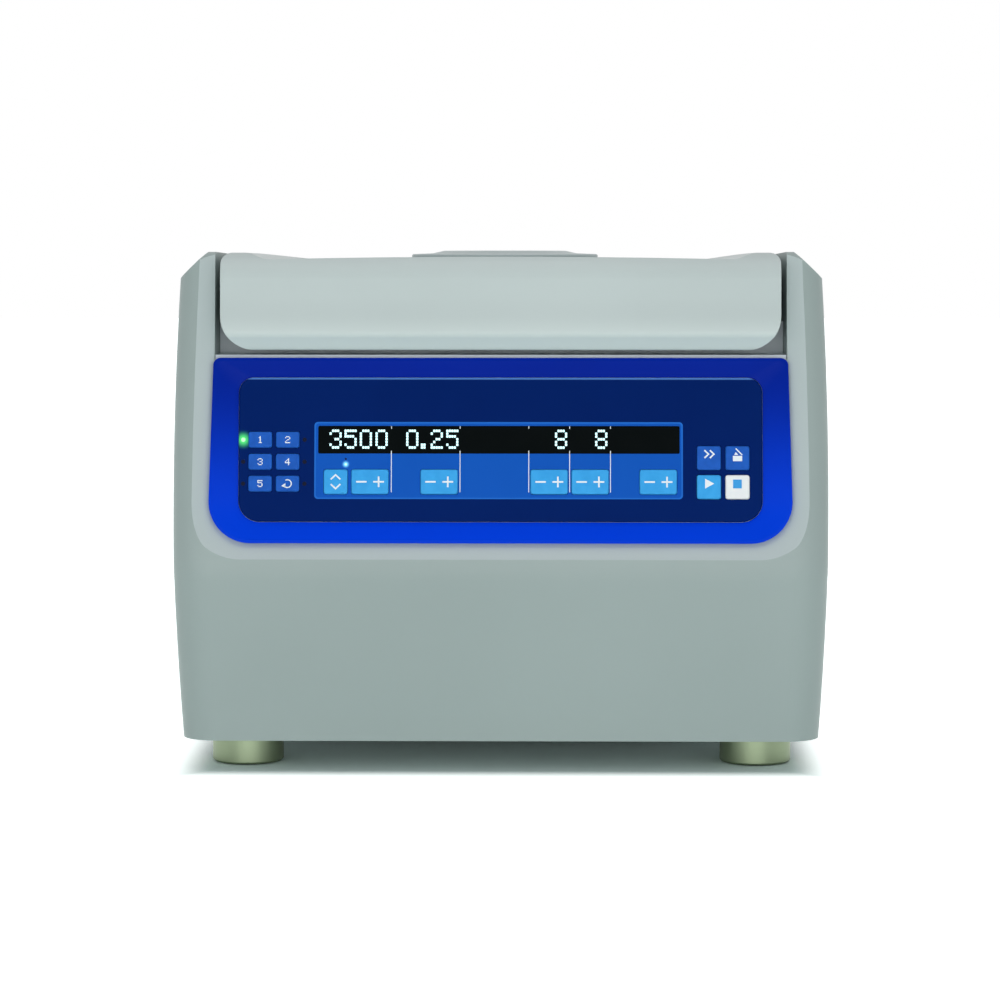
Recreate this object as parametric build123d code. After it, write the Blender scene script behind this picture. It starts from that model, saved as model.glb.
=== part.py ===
"""Benchtop centrifuge with a swing-out rotor, a sprung lid and a keypad panel that leans back.

Millimetres. X runs to the right, the front faces -Y and Z is up. The origin is on the bench, below the
middle of the casing. Each piece is written to parts/NAME.step.
"""

import os
from math import atan2, cos, degrees, hypot, radians, sin, tan

from build123d import *

# Casing
foot_taper = 6.7             # the sides lean in this much from their widest to the bottom edge
cheek_thick = 28.7           # from the lid's bay to the widest point of a side
shoulder_taper = 3.7         # and this much up to the top chamfer
front_space = 90.5           # from the brow to the chamber
rear_space = 170.5           # from the chamber to the rear
wide_z = 208.0
shoulder_z = 331.0
cheek_top_z = 349.0          # top of the cheeks at the front
cheek_flat = 5.2             # flat top of a cheek, inside its chamfer
roof_fall = 11.0             # how much the roof line drops towards the rear
skirt_z = 22.0               # bottom edge of the casing
toe_setback = 12.5           # the front's bottom edge lies this far behind the brow
brow_z = 139.0               # where the front turns from the apron to the leaning panel
brow_radius = 60.0
panel_lean = 8.0             # degrees
front_corner = 24.0
rear_corner = 18.0
roof_front_radius = 14.0
roof_rear_radius = 12.0
wall = 3.5
above_all = 40.0             # cuts that end in the open reach this far past the casing

# Panel frame and bezel
bevel_depth = 6.0
bevel_over = 3.0             # the bevel's cut starts this far in front of the casing
bevel_width_side = 16.5
bevel_width_bottom = 10.7
frame_spread_bottom = 4.2    # the frame is wider than the lid's bay by this on each side
frame_spread_top = 0.7
frame_bottom_z = 156.0
frame_top_z = 279.0
frame_corner = 28.0
seat_width = 4.0             # ledge behind the keypad's edge
bezel_gap = 0.3
bezel_rim = 2.0
bezel_top_corner = 5.0
bezel_rim_depth = 2.5
bezel_well_depth = 5.0

# Keypad and display
keypad_margin = 16.8         # from the lid's bay in to the keypad's edge
keypad_bottom_z = 170.6
keypad_top_z = 266.0
keypad_corner = 14.0
keypad_corner_top = 10.0
keypad_proud = 1.8           # how far the keypad stands above the bezel's well
keypad_edge = 1.2
display_from_left = 53.0     # from the keypad's edge
display_from_right = 55.0
display_low_z = 215.6
display_high_z = 234.0
display_corner = 1.0
display_recess = 0.6
pane_thick = 1.4
board_thick = 1.6
board_part_places = (-150, -60, 40, 120)

# Keys
program_from_left = (14.4, 32.7)
program_rows = (224.7, 210.1, 195.6)
program_key_width = 15.7
program_key_height = 10.6
adjust_row_z = 196.9
adjust_key_height = 16.4
mode_key_from_left = 11.8    # from the display's edge
mode_key_width = 15.8
rocker_names = ("speed_keys", "time_keys", "acceleration_keys", "deceleration_keys", "bucket_type_keys")
rockers_from_left = (34.7, 80.8)
rockers_from_right = (86.9, 59.6, 14.3)
rocker_key_width = 24.7
function_names = ("pulse_key", "open_key", "start_key", "stop_key")
function_from_right = (35.6, 16.6)
function_rows = (212.8, 193.6)
function_key_size = 15.9
key_clearance = 0.35
key_proud = 0.8
key_depth = 4.9              # from a key's face to its foot
key_corner = 1.6
key_edge = 0.5
key_flange = 0.8
key_travel = 0.8
rocker_swing = 1.5           # degrees either way
rocker_pivot_depth = 1.0     # behind the keypad
rocker_pivot_radius = 0.45
rocker_pivot_reach = 1.5     # how far a pivot stands out of the flange
key_stop_gap = 0.5           # between a key's flange and the back of the keypad

# Status lights
lights_from_left = (3.0, 44.0)
light_radius = 1.4
light_gap = 0.05
mode_light_from_left = 18.5
mode_light_rows = (212.0, 208.5)
mode_light_share = 0.45

# Lid
bay_margin = 19.3            # from the chamber's side to the inner face of a cheek
lid_gap = 4.6                # between lid and cheek
lid_corner = 23.0            # bottom corners of the nose
lid_edge = 7.0
nose_low_z = 283.7
nose_setback = 15.5          # the lid's nose lies this far behind the brow
nose_depth = 37.0            # from its front to the back of its under side
nose_round = 18.0
nose_bevel = (8.5, 10.5)     # along its under side and up its front
lid_shoulder_z = 348.8
lid_dip_z = 344.4
lid_crown_z = 346.1
shoulder_width = 15.1        # the raised shoulder's flat top
dip_margin = 32.1            # from the lid's side to the foot of the shoulder
lid_under_z = 303.5
lid_wall = 3.0
liner_z = 305.8
liner_thick = 3.2
liner_front_gap = 32.0       # from the chamber's side to the liner's ends
liner_back_gap = 28.0        # and from the hinge
hinge_space = 96.0           # from the chamber to the hinge's axis
hinge_z = 317.0
hinge_roll = 24.0
lid_open = 75.0              # degrees
hinge_eye = 9.0
hinge_pin_radius = 5.0
hinge_arm_inset = 41.3       # from the lid's bay in to the middle of a hinge
hinge_arm_thick = 8.0
arm_plate = 5.0
bracket_half = 9.0
bracket_clearance = 0.2

# Window in the lid
viewport_base = 68.5
viewport_shelf = 53.0        # a flat ring runs round the raised middle
viewport_top = 45.0
viewport_pane = 33.0
viewport_wall = 3.0
viewport_seat_z = 346.4
viewport_shelf_z = 347.0
viewport_z = 348.8

# Deck under the lid
deck_z = 302.0
deck_thick = 3.0
deck_step_z = 280.5
deck_front_space = 31.0      # from the chamber to the step behind the nose
deck_clearance = 0.4
deck_ledge = 8.0
deck_under_room = 30.0       # clear height below the deck, inside its ledge
deck_rear_top_z = 336.0
trough_radius = 26.0

# Chamber
bowl_radius = 172.0
bowl_wall = 1.5
bowl_floor_z = 148.0
bowl_corner = 18.0
bowl_lip = 9.0
guard_space = 8.0            # from the bowl to the guard ring
guard_thick = 6.0
guard_top_z = 290.0
seal_height = 3.5
seal_width = 7.0

# Drive
motor_radius = 64.0
motor_low_z = 48.0
motor_high_z = 132.0
motor_neck = 20.0
motor_neck_z = 144.0
motor_rib_count = 6
motor_rib_pitch = 8.0
motor_rib_depth = 2.0
boot_radius = 44.0
shaft_radius = 9.0
shaft_foot_z = 62.0
shaft_clearance = 0.05
bracket_thick = 4.0
damper_radius = 15.0
damper_ring = 92.0

# Rotor and buckets
pivot_ring = 75.0
pivot_z = 250.0
cross_radius = 105.0
cross_low_z = 236.0
cross_high_z = 264.0
cross_edge = 1.5
hub_radius = 28.0
hub_low_z = 228.0
hub_top_z = 274.0
pocket_round = 42.0
pocket_square = 18.5
slot_half = 43.0
trunnion_radius = 6.0
trunnion_length = 6.2
bucket_radius = 36.5
bucket_wall = 2.5
bucket_corner = 12.0
bucket_rim = 38.6
bucket_low_z = 170.0
bucket_top_z = 264.0
ear_half = 42.4
ear_width = 20.0
ear_drop = 10.0
groove_clearance = 0.3
knob_radius = 17.0
knob_top_z = 290.0
button_radius = 7.0
button_well = 8.0
button_travel = 2.0

# Base and feet
base_thick = 3.0
base_slot_columns = (-60, 0, 60)
base_slot_rows = (95, 115)
base_slot_length = 40.0
base_slot_width = 6.0
foot_radius = 24.3
foot_inset = 39.1            # from the bottom edge's side to the middle of a foot
foot_front_inset = 68.5
foot_rear_inset = 62.5
pad_height = 2.0
pad_radius = 19.0

# Lock
lock_setback = 11.0          # from the deck's step to the lock bar
lock_z = 258.0
lock_x = 120.0
lock_bar_radius = 4.0
lock_bearing = 16.0
lock_housing_front = 7.5     # in front of the bar and behind it
lock_housing_back = 26.0
claw_width = 8.0
claw_outer = 23.6
claw_inner = 19.6
claw_tip_angle = 70.0
claw_root_angle = 105.0
lock_swing = 50.0            # degrees
striker_offset = 14.0        # from the bar back to the striker
striker_bar_z = 264.0
striker_bar = 3.0
striker_width = 18.0
striker_slot = 24.0
striker_slot_reach = (14.0, 9.0)   # in front of the striker and behind it

# Gas spring
spring_inset = 15.3          # from the lid's bay in to the spring
spring_low_back = 38.0       # the lower pivot lies this far in front of the hinge
spring_low_z = 70.0
spring_pin_back = 60.0       # the lid's pin lies this far in front of the hinge
spring_pin_drop = 14.0
spring_cylinder_radius = 9.0
spring_rod_radius = 4.0
spring_pin_radius = 4.0
spring_eye_radius = 8.0
spring_eye_width = 8.0
spring_side_gap = 0.4
spring_slot_gap = 2.5
spring_cheek = 5.0
spring_neck = 16.0
spring_neck_radius = 3.4
spring_tube_start = 16.0
spring_tube_length = 125.0
spring_bore = 110.0
spring_slot_reach = (78.0, 24.0)   # the deck's slot, in front of the hinge
spring_notch_reach = (82.0, 38.0)  # the liner's notch

# Power board
board_left = -150.0
board_right = 60.0
board_inset = (134.5, 17.5)  # its ends, in front of the rear
board_post = 10.0

# Rear
rear_panel_inset = 38.0      # from the widest side to the rear panel's edge
rear_panel_low_z = 42.0
rear_panel_high_z = 236.0
rear_panel_corner = 6.0
rear_panel_lap = 6.0
rear_panel_thick = 1.5
louvre_from_left = (67.0, 187.0)
louvre_count = 9
louvre_pitch = 13.0
louvre_length = 92.0
louvre_height = 5.0
inlet_from_right = 70.0
inlet_z = 92.0
inlet_width = 27.0
inlet_height = 20.0
inlet_depth = 22.0
inlet_flange = 3.0
inlet_wall = 1.5
blade_spread = 7.0
blade_length = 12.0
switch_from_right = 32.0
switch_width = 19.0
switch_height = 27.0
switch_depth = 16.0
switch_rim = 1.5
switch_lap = 2.0             # the frame's edge outside the plate
switch_pin = 1.3             # radius of the rocker's pivot pin
switch_pin_inset = 0.7       # the pin's ends stay this far inside the frame's sides
switch_swing = 10.0
rocker_clearance = 0.4
rocker_half_height = 10.6
rocker_radius = 5.0
rocker_setback = 4.0

screw_radius = 4.0
base_screw_rows = (-120, 0, 120)

# Worked out from the sizes above: the chamber and the spaces round it give the casing
bay_half = bowl_radius + bay_margin
casing_half_wide = bay_half + cheek_thick
casing_half_foot = casing_half_wide - foot_taper
casing_half_shoulder = casing_half_wide - shoulder_taper
casing_depth = 2 * bowl_radius + front_space + rear_space
front_y = -casing_depth / 2
rear_y = casing_depth / 2
chamber_y = front_y + front_space + bowl_radius
deck_front_y = chamber_y - bowl_radius - deck_front_space
hinge_y = chamber_y + bowl_radius + hinge_space
nose_reach = -front_y - nose_setback
nose_back_y = nose_depth - nose_reach
liner_front_y = chamber_y - bowl_radius - liner_front_gap
liner_back_y = hinge_y - liner_back_gap
hinge_arm_x = bay_half - hinge_arm_inset
guard_inner = bowl_radius + guard_space
frame_half_bottom = bay_half + frame_spread_bottom
frame_half_top = bay_half + frame_spread_top
keypad_half = bay_half - keypad_margin
display_left = display_from_left - keypad_half
display_right = keypad_half - display_from_right
program_columns = [gap - keypad_half for gap in program_from_left]
light_columns = [gap - keypad_half for gap in lights_from_left]
function_columns = [keypad_half - gap for gap in function_from_right]
mode_key_x = display_left + mode_key_from_left
mode_light_x = display_left + mode_light_from_left
rocker_places = [display_left + gap for gap in rockers_from_left]
rocker_places += [display_right - gap for gap in rockers_from_right]
lock_y = deck_front_y + lock_setback
striker_y = lock_y + striker_offset
spring_x = spring_inset - bay_half
spring_low_y = hinge_y - spring_low_back
foot_x = casing_half_foot - foot_inset
foot_front_y = front_y + foot_front_inset
foot_rear_y = rear_y - foot_rear_inset
board_front, board_back = (rear_y - inset for inset in board_inset)
rear_panel_half = casing_half_wide - rear_panel_inset
louvre_columns = [gap - rear_panel_half for gap in louvre_from_left]
inlet_x = rear_panel_half - inlet_from_right
switch_x = rear_panel_half - switch_from_right
toe_y = front_y + toe_setback
lean = radians(panel_lean)
chamfer_top_half = bay_half + cheek_flat
roof_rear_z = cheek_top_z - roof_fall
roof_slope = roof_fall / casing_depth
lid_half = bay_half - lid_gap
shoulder_inner = lid_half - shoulder_width
dip_outer = lid_half - dip_margin
keypad_depth = bezel_well_depth - keypad_proud
deck_step_back = deck_front_y + deck_thick
flange_low_z = deck_step_z - deck_thick
lip_z = deck_z - deck_thick
deck_hole = bowl_radius + bowl_wall
rocker_y = rear_y - wall - rocker_setback


def block(x0, x1, y0, y1, z0, z1):
    """A box between two corners."""
    centre = Pos((x0 + x1) / 2, (y0 + y1) / 2, (z0 + z1) / 2)
    return centre * Box(abs(x1 - x0), abs(y1 - y0), abs(z1 - z0))


def post(x, y, z0, z1, radius):
    """An upright cylinder."""
    return Pos(x, y, (z0 + z1) / 2) * Cylinder(radius, z1 - z0)


def ring(x, y, z0, z1, outer, inner):
    """An upright tube."""
    return post(x, y, z0, z1, outer) - post(x, y, z0 - 1, z1 + 1, inner)


def crossbar(x0, x1, y, z, radius):
    """A cylinder that lies along X."""
    return Pos((x0 + x1) / 2, y, z) * Rot(0, 90, 0) * Cylinder(radius, abs(x1 - x0))


def rounded(points, radii):
    """A flat face with straight sides and a radius at each corner."""
    if isinstance(radii, (int, float)):
        radii = [radii] * len(points)
    return make_face(FilletPolyline(*points, radius=radii, close=True))


def across(face, x0, x1):
    """Extrudes a face drawn in (Y, Z) from x0 to x1."""
    return extrude(Plane.YZ.offset(x0) * face, x1 - x0)


def lengthwise(face, y0, y1):
    """Extrudes a face drawn in (X, Z) from y0 to y1."""
    return extrude(Plane.XZ.offset(-y1) * face, y1 - y0)


def upward(face, z0, z1):
    """Extrudes a face drawn in (X, Y) from z0 to z1."""
    return extrude(Plane.XY.offset(z0) * face, z1 - z0)


def layer(z0, z1):
    """A slab between two heights, larger than the casing."""
    half_x, half_y = casing_half_wide + above_all, rear_y + above_all
    return block(-half_x, half_x, -half_y, half_y, z0, z1)


def save(name, *pieces):
    """Writes one node, each piece its own solid."""
    solids = [solid for piece in pieces for solid in piece.solids()]
    export_step(solids[0] if len(solids) == 1 else Compound(children=solids), f"parts/{name}.step")


# The leaning front: places on it are given by x, height z and depth below its surface
def front_at(z):
    """Y of the leaning front at height z."""
    return front_y + (z - brow_z) * tan(lean)


def panel_plane(depth=0.0, x=0.0, z=brow_z):
    """A plane on the leaning front, its X to the right and its Y up the slope."""
    inward = Vector(0, cos(lean), -sin(lean))
    origin = Vector(x, front_at(z), z) + inward * depth
    return Plane(origin=origin, x_dir=(1, 0, 0), z_dir=(0, -cos(lean), sin(lean)))


def up_slope(z):
    """Distance up the slope from the brow to height z."""
    return (z - brow_z) / cos(lean)


def panel_rectangle(left, right, low_z, high_z, radii):
    """A face on the panel plane, by its edges' places."""
    low, high = up_slope(low_z), up_slope(high_z)
    return rounded([(left, low), (right, low), (right, high), (left, high)], radii)


def panel_slab(face, top_depth, bottom_depth):
    """A slab that follows the lean, between two depths below the front."""
    return extrude(panel_plane(bottom_depth) * face, bottom_depth - top_depth)


# Casing form
def side_outline(inset=0.0):
    """The casing from the side: apron, leaning panel, falling roof and upright rear."""
    over = cheek_top_z + 60
    low = -40.0
    toe_slope = toe_setback / (brow_z - skirt_z)
    points = [
        (toe_y + toe_slope * (skirt_z - low), low),
        (front_y, brow_z),
        (front_at(over), over),
        (rear_y, over),
        (rear_y, low),
    ]
    face = rounded(points, [0, brow_radius, 0, 0, 0])
    return offset(face, -inset) if inset else face


def roof_outline(inset=0.0):
    """The same side view with its roof, to trim the tall form."""
    low = -40.0
    points = [
        (front_at(low), low),
        (front_at(cheek_top_z + roof_slope * 20), cheek_top_z + roof_slope * 20),
        (rear_y, roof_rear_z),
        (rear_y, low),
    ]
    face = rounded(points, [0, roof_front_radius, roof_rear_radius, 0])
    return offset(face, -inset) if inset else face


def front_outline(inset=0.0, tall=False):
    """The casing from the front, with bulged sides and chamfered shoulders."""
    low = -20.0
    flare = (casing_half_wide - casing_half_foot) / (wide_z - skirt_z)
    foot_half = casing_half_foot - flare * (skirt_z - low) * 0.9
    top = cheek_top_z + 60 if tall else cheek_top_z + 1
    side = ThreePointArc((foot_half, low), (casing_half_wide, wide_z), (casing_half_shoulder, shoulder_z))
    run = cheek_top_z - shoulder_z
    slope = (casing_half_shoulder - chamfer_top_half) / run
    if tall:
        upper = [(casing_half_shoulder, shoulder_z), (casing_half_shoulder - 3, top), (0, top), (0, low)]
    else:
        upper = [
            (casing_half_shoulder, shoulder_z),
            (casing_half_shoulder - slope * (top - shoulder_z), top),
            (0, top),
            (0, low),
        ]
    rest = Polyline(*upper, (foot_half, low))
    half = make_face(side.edges() + rest.edges())
    face = half + mirror(half, Plane.YZ)
    return offset(face, -inset) if inset else face


def casing_form(inset=0.0):
    """The casing's outer form, or the same form shrunk by an inset."""
    reach = casing_half_wide + 40
    tall = across(side_outline(inset), -reach, reach)
    tall &= lengthwise(front_outline(inset, tall=True), front_y - 60, rear_y + 60)
    upright = [edge for edge in tall.edges() if edge.bounding_box().size.Z > 60]
    tall = fillet([edge for edge in upright if edge.center().Y < 0], front_corner - inset)
    upright = [edge for edge in tall.edges() if edge.bounding_box().size.Z > 60]
    rears = [edge for edge in upright if edge.center().Y > rear_y - 30]
    tall = fillet(rears, rear_corner - inset)
    form = tall & across(roof_outline(inset), -reach, reach)
    return form & lengthwise(front_outline(inset), front_y - 60, rear_y + 60)


def frame_half(z):
    """Half width of the panel frame's inner edge at height z."""
    share = (z - frame_bottom_z) / (frame_top_z - frame_bottom_z)
    return frame_half_bottom + share * (frame_half_top - frame_half_bottom)


def frame_face(grow_side, grow_low, top_z, radius, top_radius=0.0):
    """The panel frame's outline on the leaning front, grown or shrunk."""
    low_z = frame_bottom_z - grow_low
    low_half = frame_half(low_z) + grow_side
    top_half = frame_half(top_z) + grow_side
    low, high = up_slope(low_z), up_slope(top_z)
    corners = [(-low_half, low), (low_half, low), (top_half, high), (-top_half, high)]
    return rounded(corners, [radius, radius, top_radius, top_radius])


def bevelled_pocket():
    """The cut that leaves the bevelled frame round the panel and up the cheeks."""
    above = cheek_top_z + above_all
    share = bevel_over / bevel_depth
    spread_side = bevel_width_side * (1 + share)
    spread_low = bevel_width_bottom * (1 + share)
    outer = frame_face(spread_side, spread_low, above, frame_corner + spread_low)
    inner = frame_face(0, 0, above, frame_corner)
    faces = [panel_plane(-bevel_over) * outer, panel_plane(bevel_depth) * inner]
    return loft(faces, ruled=True)


def bay(clearance=0.0):
    """The space between the cheeks that holds the lid and the deck."""
    half = bay_half + clearance
    back_y = hinge_y + trough_radius + deck_thick + clearance
    rear_bay = block(-half, half, deck_step_back - clearance, back_y, deck_z - deck_thick - clearance, 500)
    front_bay = block(-half, half, front_y - 50, deck_step_back + clearance, flange_low_z - clearance, 500)
    return rear_bay + front_bay


def make_housing_shell(outer, inner):
    """The moulded casing: one open-bottomed shell with cheeks, panel frame and rear opening."""
    backing_face = frame_face(bevel_width_side, bevel_width_bottom + wall, cheek_top_z + above_all,
                              frame_corner + bevel_width_bottom)
    backing = panel_slab(backing_face, -above_all, bevel_depth + wall)
    cavity = inner - backing - bay(wall)
    shell = outer - cavity - bevelled_pocket() - bay()
    ledge_half = bay_half - deck_ledge
    under_z = deck_z - deck_under_room
    trough_reach = trough_radius + deck_thick
    shell -= block(-ledge_half, ledge_half, deck_step_back - deck_ledge, hinge_y + trough_radius, under_z, deck_z)
    shell -= block(-bay_half, bay_half, hinge_y - trough_reach - 1, hinge_y + trough_reach, under_z, deck_z)
    window = panel_rectangle(-keypad_half + seat_width, keypad_half - seat_width, keypad_bottom_z + seat_width,
                             keypad_top_z - seat_width, keypad_corner - seat_width)
    shell -= panel_slab(window, -1, bevel_depth + wall + 1)
    opening = rounded(rear_corners(rear_panel_lap), rear_panel_corner)
    return shell - lengthwise(opening, rear_y - 3 * wall, rear_y + 1)


def rear_corners(inset=0.0):
    """Corners of the rear panel's outline in (X, Z)."""
    half = rear_panel_half - inset
    low, high = rear_panel_low_z + inset, rear_panel_high_z - inset
    return [(-half, low), (half, low), (half, high), (-half, high)]


def make_rear_panel():
    """A flat plate behind the rear opening, with pressed air slots and cut-outs for the inlet and switch."""
    plate = lengthwise(rounded(rear_corners(), rear_panel_corner), rear_y - wall - rear_panel_thick, rear_y - wall)
    first_z = (rear_panel_low_z + rear_panel_high_z - (louvre_count - 1) * louvre_pitch) / 2
    for column_x in louvre_columns:
        for row in range(louvre_count):
            z = first_z + row * louvre_pitch
            slot = extrude(SlotOverall(louvre_length, louvre_height), 20, both=True)
            plate -= Pos(column_x, rear_y - wall, z) * Rot(90, 0, 0) * slot
    near, far = rear_y - above_all, rear_y + above_all
    for x, width, height in ((inlet_x, inlet_width, inlet_height), (switch_x, switch_width, switch_height)):
        plate -= block(x - width / 2, x + width / 2, near, far, inlet_z - height / 2, inlet_z + height / 2)
    return plate


def make_power_inlet():
    """A recessed mains inlet with a flange outside the plate and three blades."""
    face_y = rear_y - wall
    half_w, half_h = inlet_width / 2, inlet_height / 2
    body = block(inlet_x - half_w, inlet_x + half_w, face_y - inlet_depth, face_y, inlet_z - half_h, inlet_z + half_h)
    lap = inlet_flange
    flange = lengthwise(
        rounded([(inlet_x - half_w - lap, inlet_z - half_h - lap), (inlet_x + half_w + lap, inlet_z - half_h - lap),
                 (inlet_x + half_w + lap, inlet_z + half_h + lap), (inlet_x - half_w - lap, inlet_z + half_h + lap)], 2),
        face_y, face_y + 2)
    rim = inlet_wall
    cut = inlet_height / 4
    mouth = lengthwise(
        rounded([(inlet_x - half_w + rim, inlet_z - half_h + rim), (inlet_x + half_w - rim, inlet_z - half_h + rim),
                 (inlet_x + half_w - rim, inlet_z + half_h - rim - cut),
                 (inlet_x + half_w - rim - cut, inlet_z + half_h - rim),
                 (inlet_x - half_w + rim + cut, inlet_z + half_h - rim),
                 (inlet_x - half_w + rim, inlet_z + half_h - rim - cut)], 1),
        face_y - inlet_depth + inlet_wall, face_y + 3)
    shape = body + flange - mouth
    floor_y = face_y - inlet_depth + inlet_wall
    for dx, dz in ((-blade_spread, -1.5), (blade_spread, -1.5), (0, 2.5)):
        x, z = inlet_x + dx, inlet_z + dz
        shape += block(x - 1, x + 1, floor_y - 1, floor_y + blade_length, z - 2, z + 2)
    return shape


def make_switch_frame():
    """The switch's snap-in frame, open where the rocker sits."""
    face_y = rear_y - wall
    half_w, half_h = switch_width / 2, switch_height / 2
    low, high = inlet_z - half_h, inlet_z + half_h
    lap = switch_lap
    body = block(switch_x - half_w, switch_x + half_w, face_y - switch_depth, face_y, low, high)
    body += block(switch_x - half_w - lap, switch_x + half_w + lap, face_y, face_y + lap, low - lap, high + lap)
    half_w, half_h = half_w - switch_rim, half_h - switch_rim
    body -= block(switch_x - half_w, switch_x + half_w, face_y - switch_depth + switch_rim, face_y + 3,
                  inlet_z - half_h, inlet_z + half_h)
    reach = switch_width / 2 - switch_pin_inset
    return body - crossbar(switch_x - reach, switch_x + reach, rocker_y, inlet_z, switch_pin + shaft_clearance)


def make_power_rocker():
    """The rocker: a shallow V of two faces over a round pivot."""
    half_w = switch_width / 2 - switch_rim - rocker_clearance
    reach = rocker_half_height
    edge = radians(switch_swing)
    face = make_face(Polyline(
        (0, rocker_radius), (-reach * cos(edge), rocker_radius + reach * sin(edge)),
        (-reach * cos(edge), rocker_radius - 4), (0, -rocker_radius), (reach * cos(edge), rocker_radius - 4),
        (reach * cos(edge), rocker_radius + reach * sin(edge)), (0, rocker_radius)))
    rocker = extrude(face, 2 * half_w)
    seat = Plane(origin=(switch_x + half_w, rocker_y, inlet_z), x_dir=(0, 0, 1), z_dir=(-1, 0, 0))
    reach = switch_width / 2 - switch_pin_inset
    return seat * rocker + crossbar(switch_x - reach, switch_x + reach, rocker_y, inlet_z, switch_pin)


# Base
def make_base_plate(inner):
    """The steel floor, welded with the gas spring's bracket and pressed with air slots."""
    plate = inner & layer(skirt_z, skirt_z + base_thick)
    for x in base_slot_columns:
        for y in base_slot_rows:
            slot = Pos(x, y, skirt_z) * extrude(SlotOverall(base_slot_length, base_slot_width), 10, both=True)
            plate -= slot
    top = skirt_z + base_thick
    for side in (-1, 1):
        near = spring_x + side * (spring_eye_width / 2 + spring_side_gap)
        far = near + side * spring_cheek
        left, right = min(near, far), max(near, far)
        cheek = block(left, right, spring_low_y - 12, spring_low_y + 12, top, spring_low_z)
        plate += cheek + crossbar(left, right, spring_low_y, spring_low_z, 12)
    half = spring_eye_width / 2 + spring_side_gap + spring_cheek
    return plate + crossbar(spring_x - half, spring_x + half, spring_low_y, spring_low_z, spring_pin_radius)


def foot_places():
    """Centres of the four feet."""
    return [(side * foot_x, y) for y in (foot_front_y, foot_rear_y) for side in (-1, 1)]


def make_feet():
    """Four turned metal feet, each with a lip that holds its pad."""
    profile = Polyline((0, pad_height), (pad_radius, pad_height), (pad_radius, pad_height - 1.2),
                       (foot_radius - 1, pad_height - 1.2), (foot_radius, pad_height), (foot_radius, skirt_z),
                       (0, skirt_z), (0, pad_height))
    foot = revolve(Plane.XZ * make_face(profile), Axis.Z)
    return [Pos(x, y, 0) * foot for x, y in foot_places()]


def make_foot_pads():
    """Rubber discs under the feet."""
    return [post(x, y, 0, pad_height, pad_radius) for x, y in foot_places()]


# Panel
def make_panel_bezel():
    """The blue bezel: a frame dished towards the keypad."""
    gap = bezel_gap
    outline = frame_face(-gap, -gap, frame_top_z, frame_corner - gap, bezel_top_corner)
    slab = panel_slab(outline, bezel_rim_depth, bevel_depth)
    rim = frame_face(-gap - bezel_rim, -gap - bezel_rim, frame_top_z - bezel_rim, frame_corner - gap - bezel_rim,
                     bezel_top_corner)
    well = keypad_face_outline(bezel_gap)
    dish = loft([panel_plane(bezel_rim_depth) * rim, panel_plane(bezel_well_depth) * well], ruled=True)
    slab -= dish
    slab -= panel_slab(well, bezel_rim_depth - 1, bevel_depth + 1)
    return slab


def keypad_face_outline(grow=0.0):
    """The keypad's outline on the leaning front."""
    low, high = up_slope(keypad_bottom_z) - grow, up_slope(keypad_top_z) + grow
    half = keypad_half + grow
    corners = [(-half, low), (half, low), (half, high), (-half, high)]
    radii = [keypad_corner + grow] * 2 + [keypad_corner_top + grow] * 2
    return rounded(corners, radii)


def key_table():
    """Every key by name: x, z, width and height."""
    table = {}
    for number in range(6):
        name = f"program_key_{number + 1}" if number < 5 else "direction_key"
        x, z = program_columns[number % 2], program_rows[number // 2]
        table[name] = (x, z, program_key_width, program_key_height)
    table["mode_key"] = (mode_key_x, adjust_row_z, mode_key_width, adjust_key_height)
    for name, x in zip(rocker_names, rocker_places):
        table[name] = (x, adjust_row_z, rocker_key_width, adjust_key_height)
    for number, name in enumerate(function_names):
        x, z = function_columns[number % 2], function_rows[number // 2]
        table[name] = (x, z, function_key_size, function_key_size)
    return table


def key_face(x, z, width, height, grow, radius):
    """A rounded rectangle on the leaning front, centred at x and height z."""
    middle = up_slope(z)
    half_w, half_h = width / 2 + grow, height / 2 + grow
    return rounded([(x - half_w, middle - half_h), (x + half_w, middle - half_h),
                    (x + half_w, middle + half_h), (x - half_w, middle + half_h)], radius)


def make_keypad_plate():
    """The dark plate with an opening for each key, the display and each light."""
    plate = panel_slab(keypad_face_outline(), keypad_depth, bevel_depth)
    front = plate.faces().sort_by(Axis((0, 0, 0), (0, -cos(lean), sin(lean))))[-1]
    plate = fillet(front.edges(), keypad_edge)
    for x, z, width, height in key_table().values():
        hole = key_face(x, z, width, height, key_clearance, key_corner + key_clearance)
        plate -= panel_slab(hole, keypad_depth - 1, bevel_depth + 1)
    plate -= panel_slab(display_outline(), keypad_depth - 1, bevel_depth + 1)
    for x, z, radius in light_places():
        plate -= light_pin(x, z, radius + light_gap, keypad_depth - 1, bevel_depth + 1)
    return plate


def display_outline(shrink=0.0):
    """The display window's outline."""
    return panel_rectangle(display_left + shrink, display_right - shrink, display_low_z + shrink,
                           display_high_z - shrink, display_corner)


def light_places():
    """Each status light: x, z and radius."""
    places = [(x, z, light_radius) for x in light_columns for z in program_rows]
    return places + [(mode_light_x, z, light_radius * mode_light_share) for z in mode_light_rows]


def light_pin(x, z, radius, top_depth, bottom_depth):
    """A small round pin square to the panel."""
    return extrude(panel_plane(bottom_depth, x, z) * Circle(radius), bottom_depth - top_depth)


def make_status_lights():
    """Clear light pipes, level with the keypad's face."""
    return [light_pin(x, z, radius, keypad_depth, bevel_depth) for x, z, radius in light_places()]


def make_display_window():
    """The dark pane over the display, just below the keypad's face."""
    return panel_slab(display_outline(bezel_gap / 3), keypad_depth + display_recess,
                      keypad_depth + display_recess + pane_thick)


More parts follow.
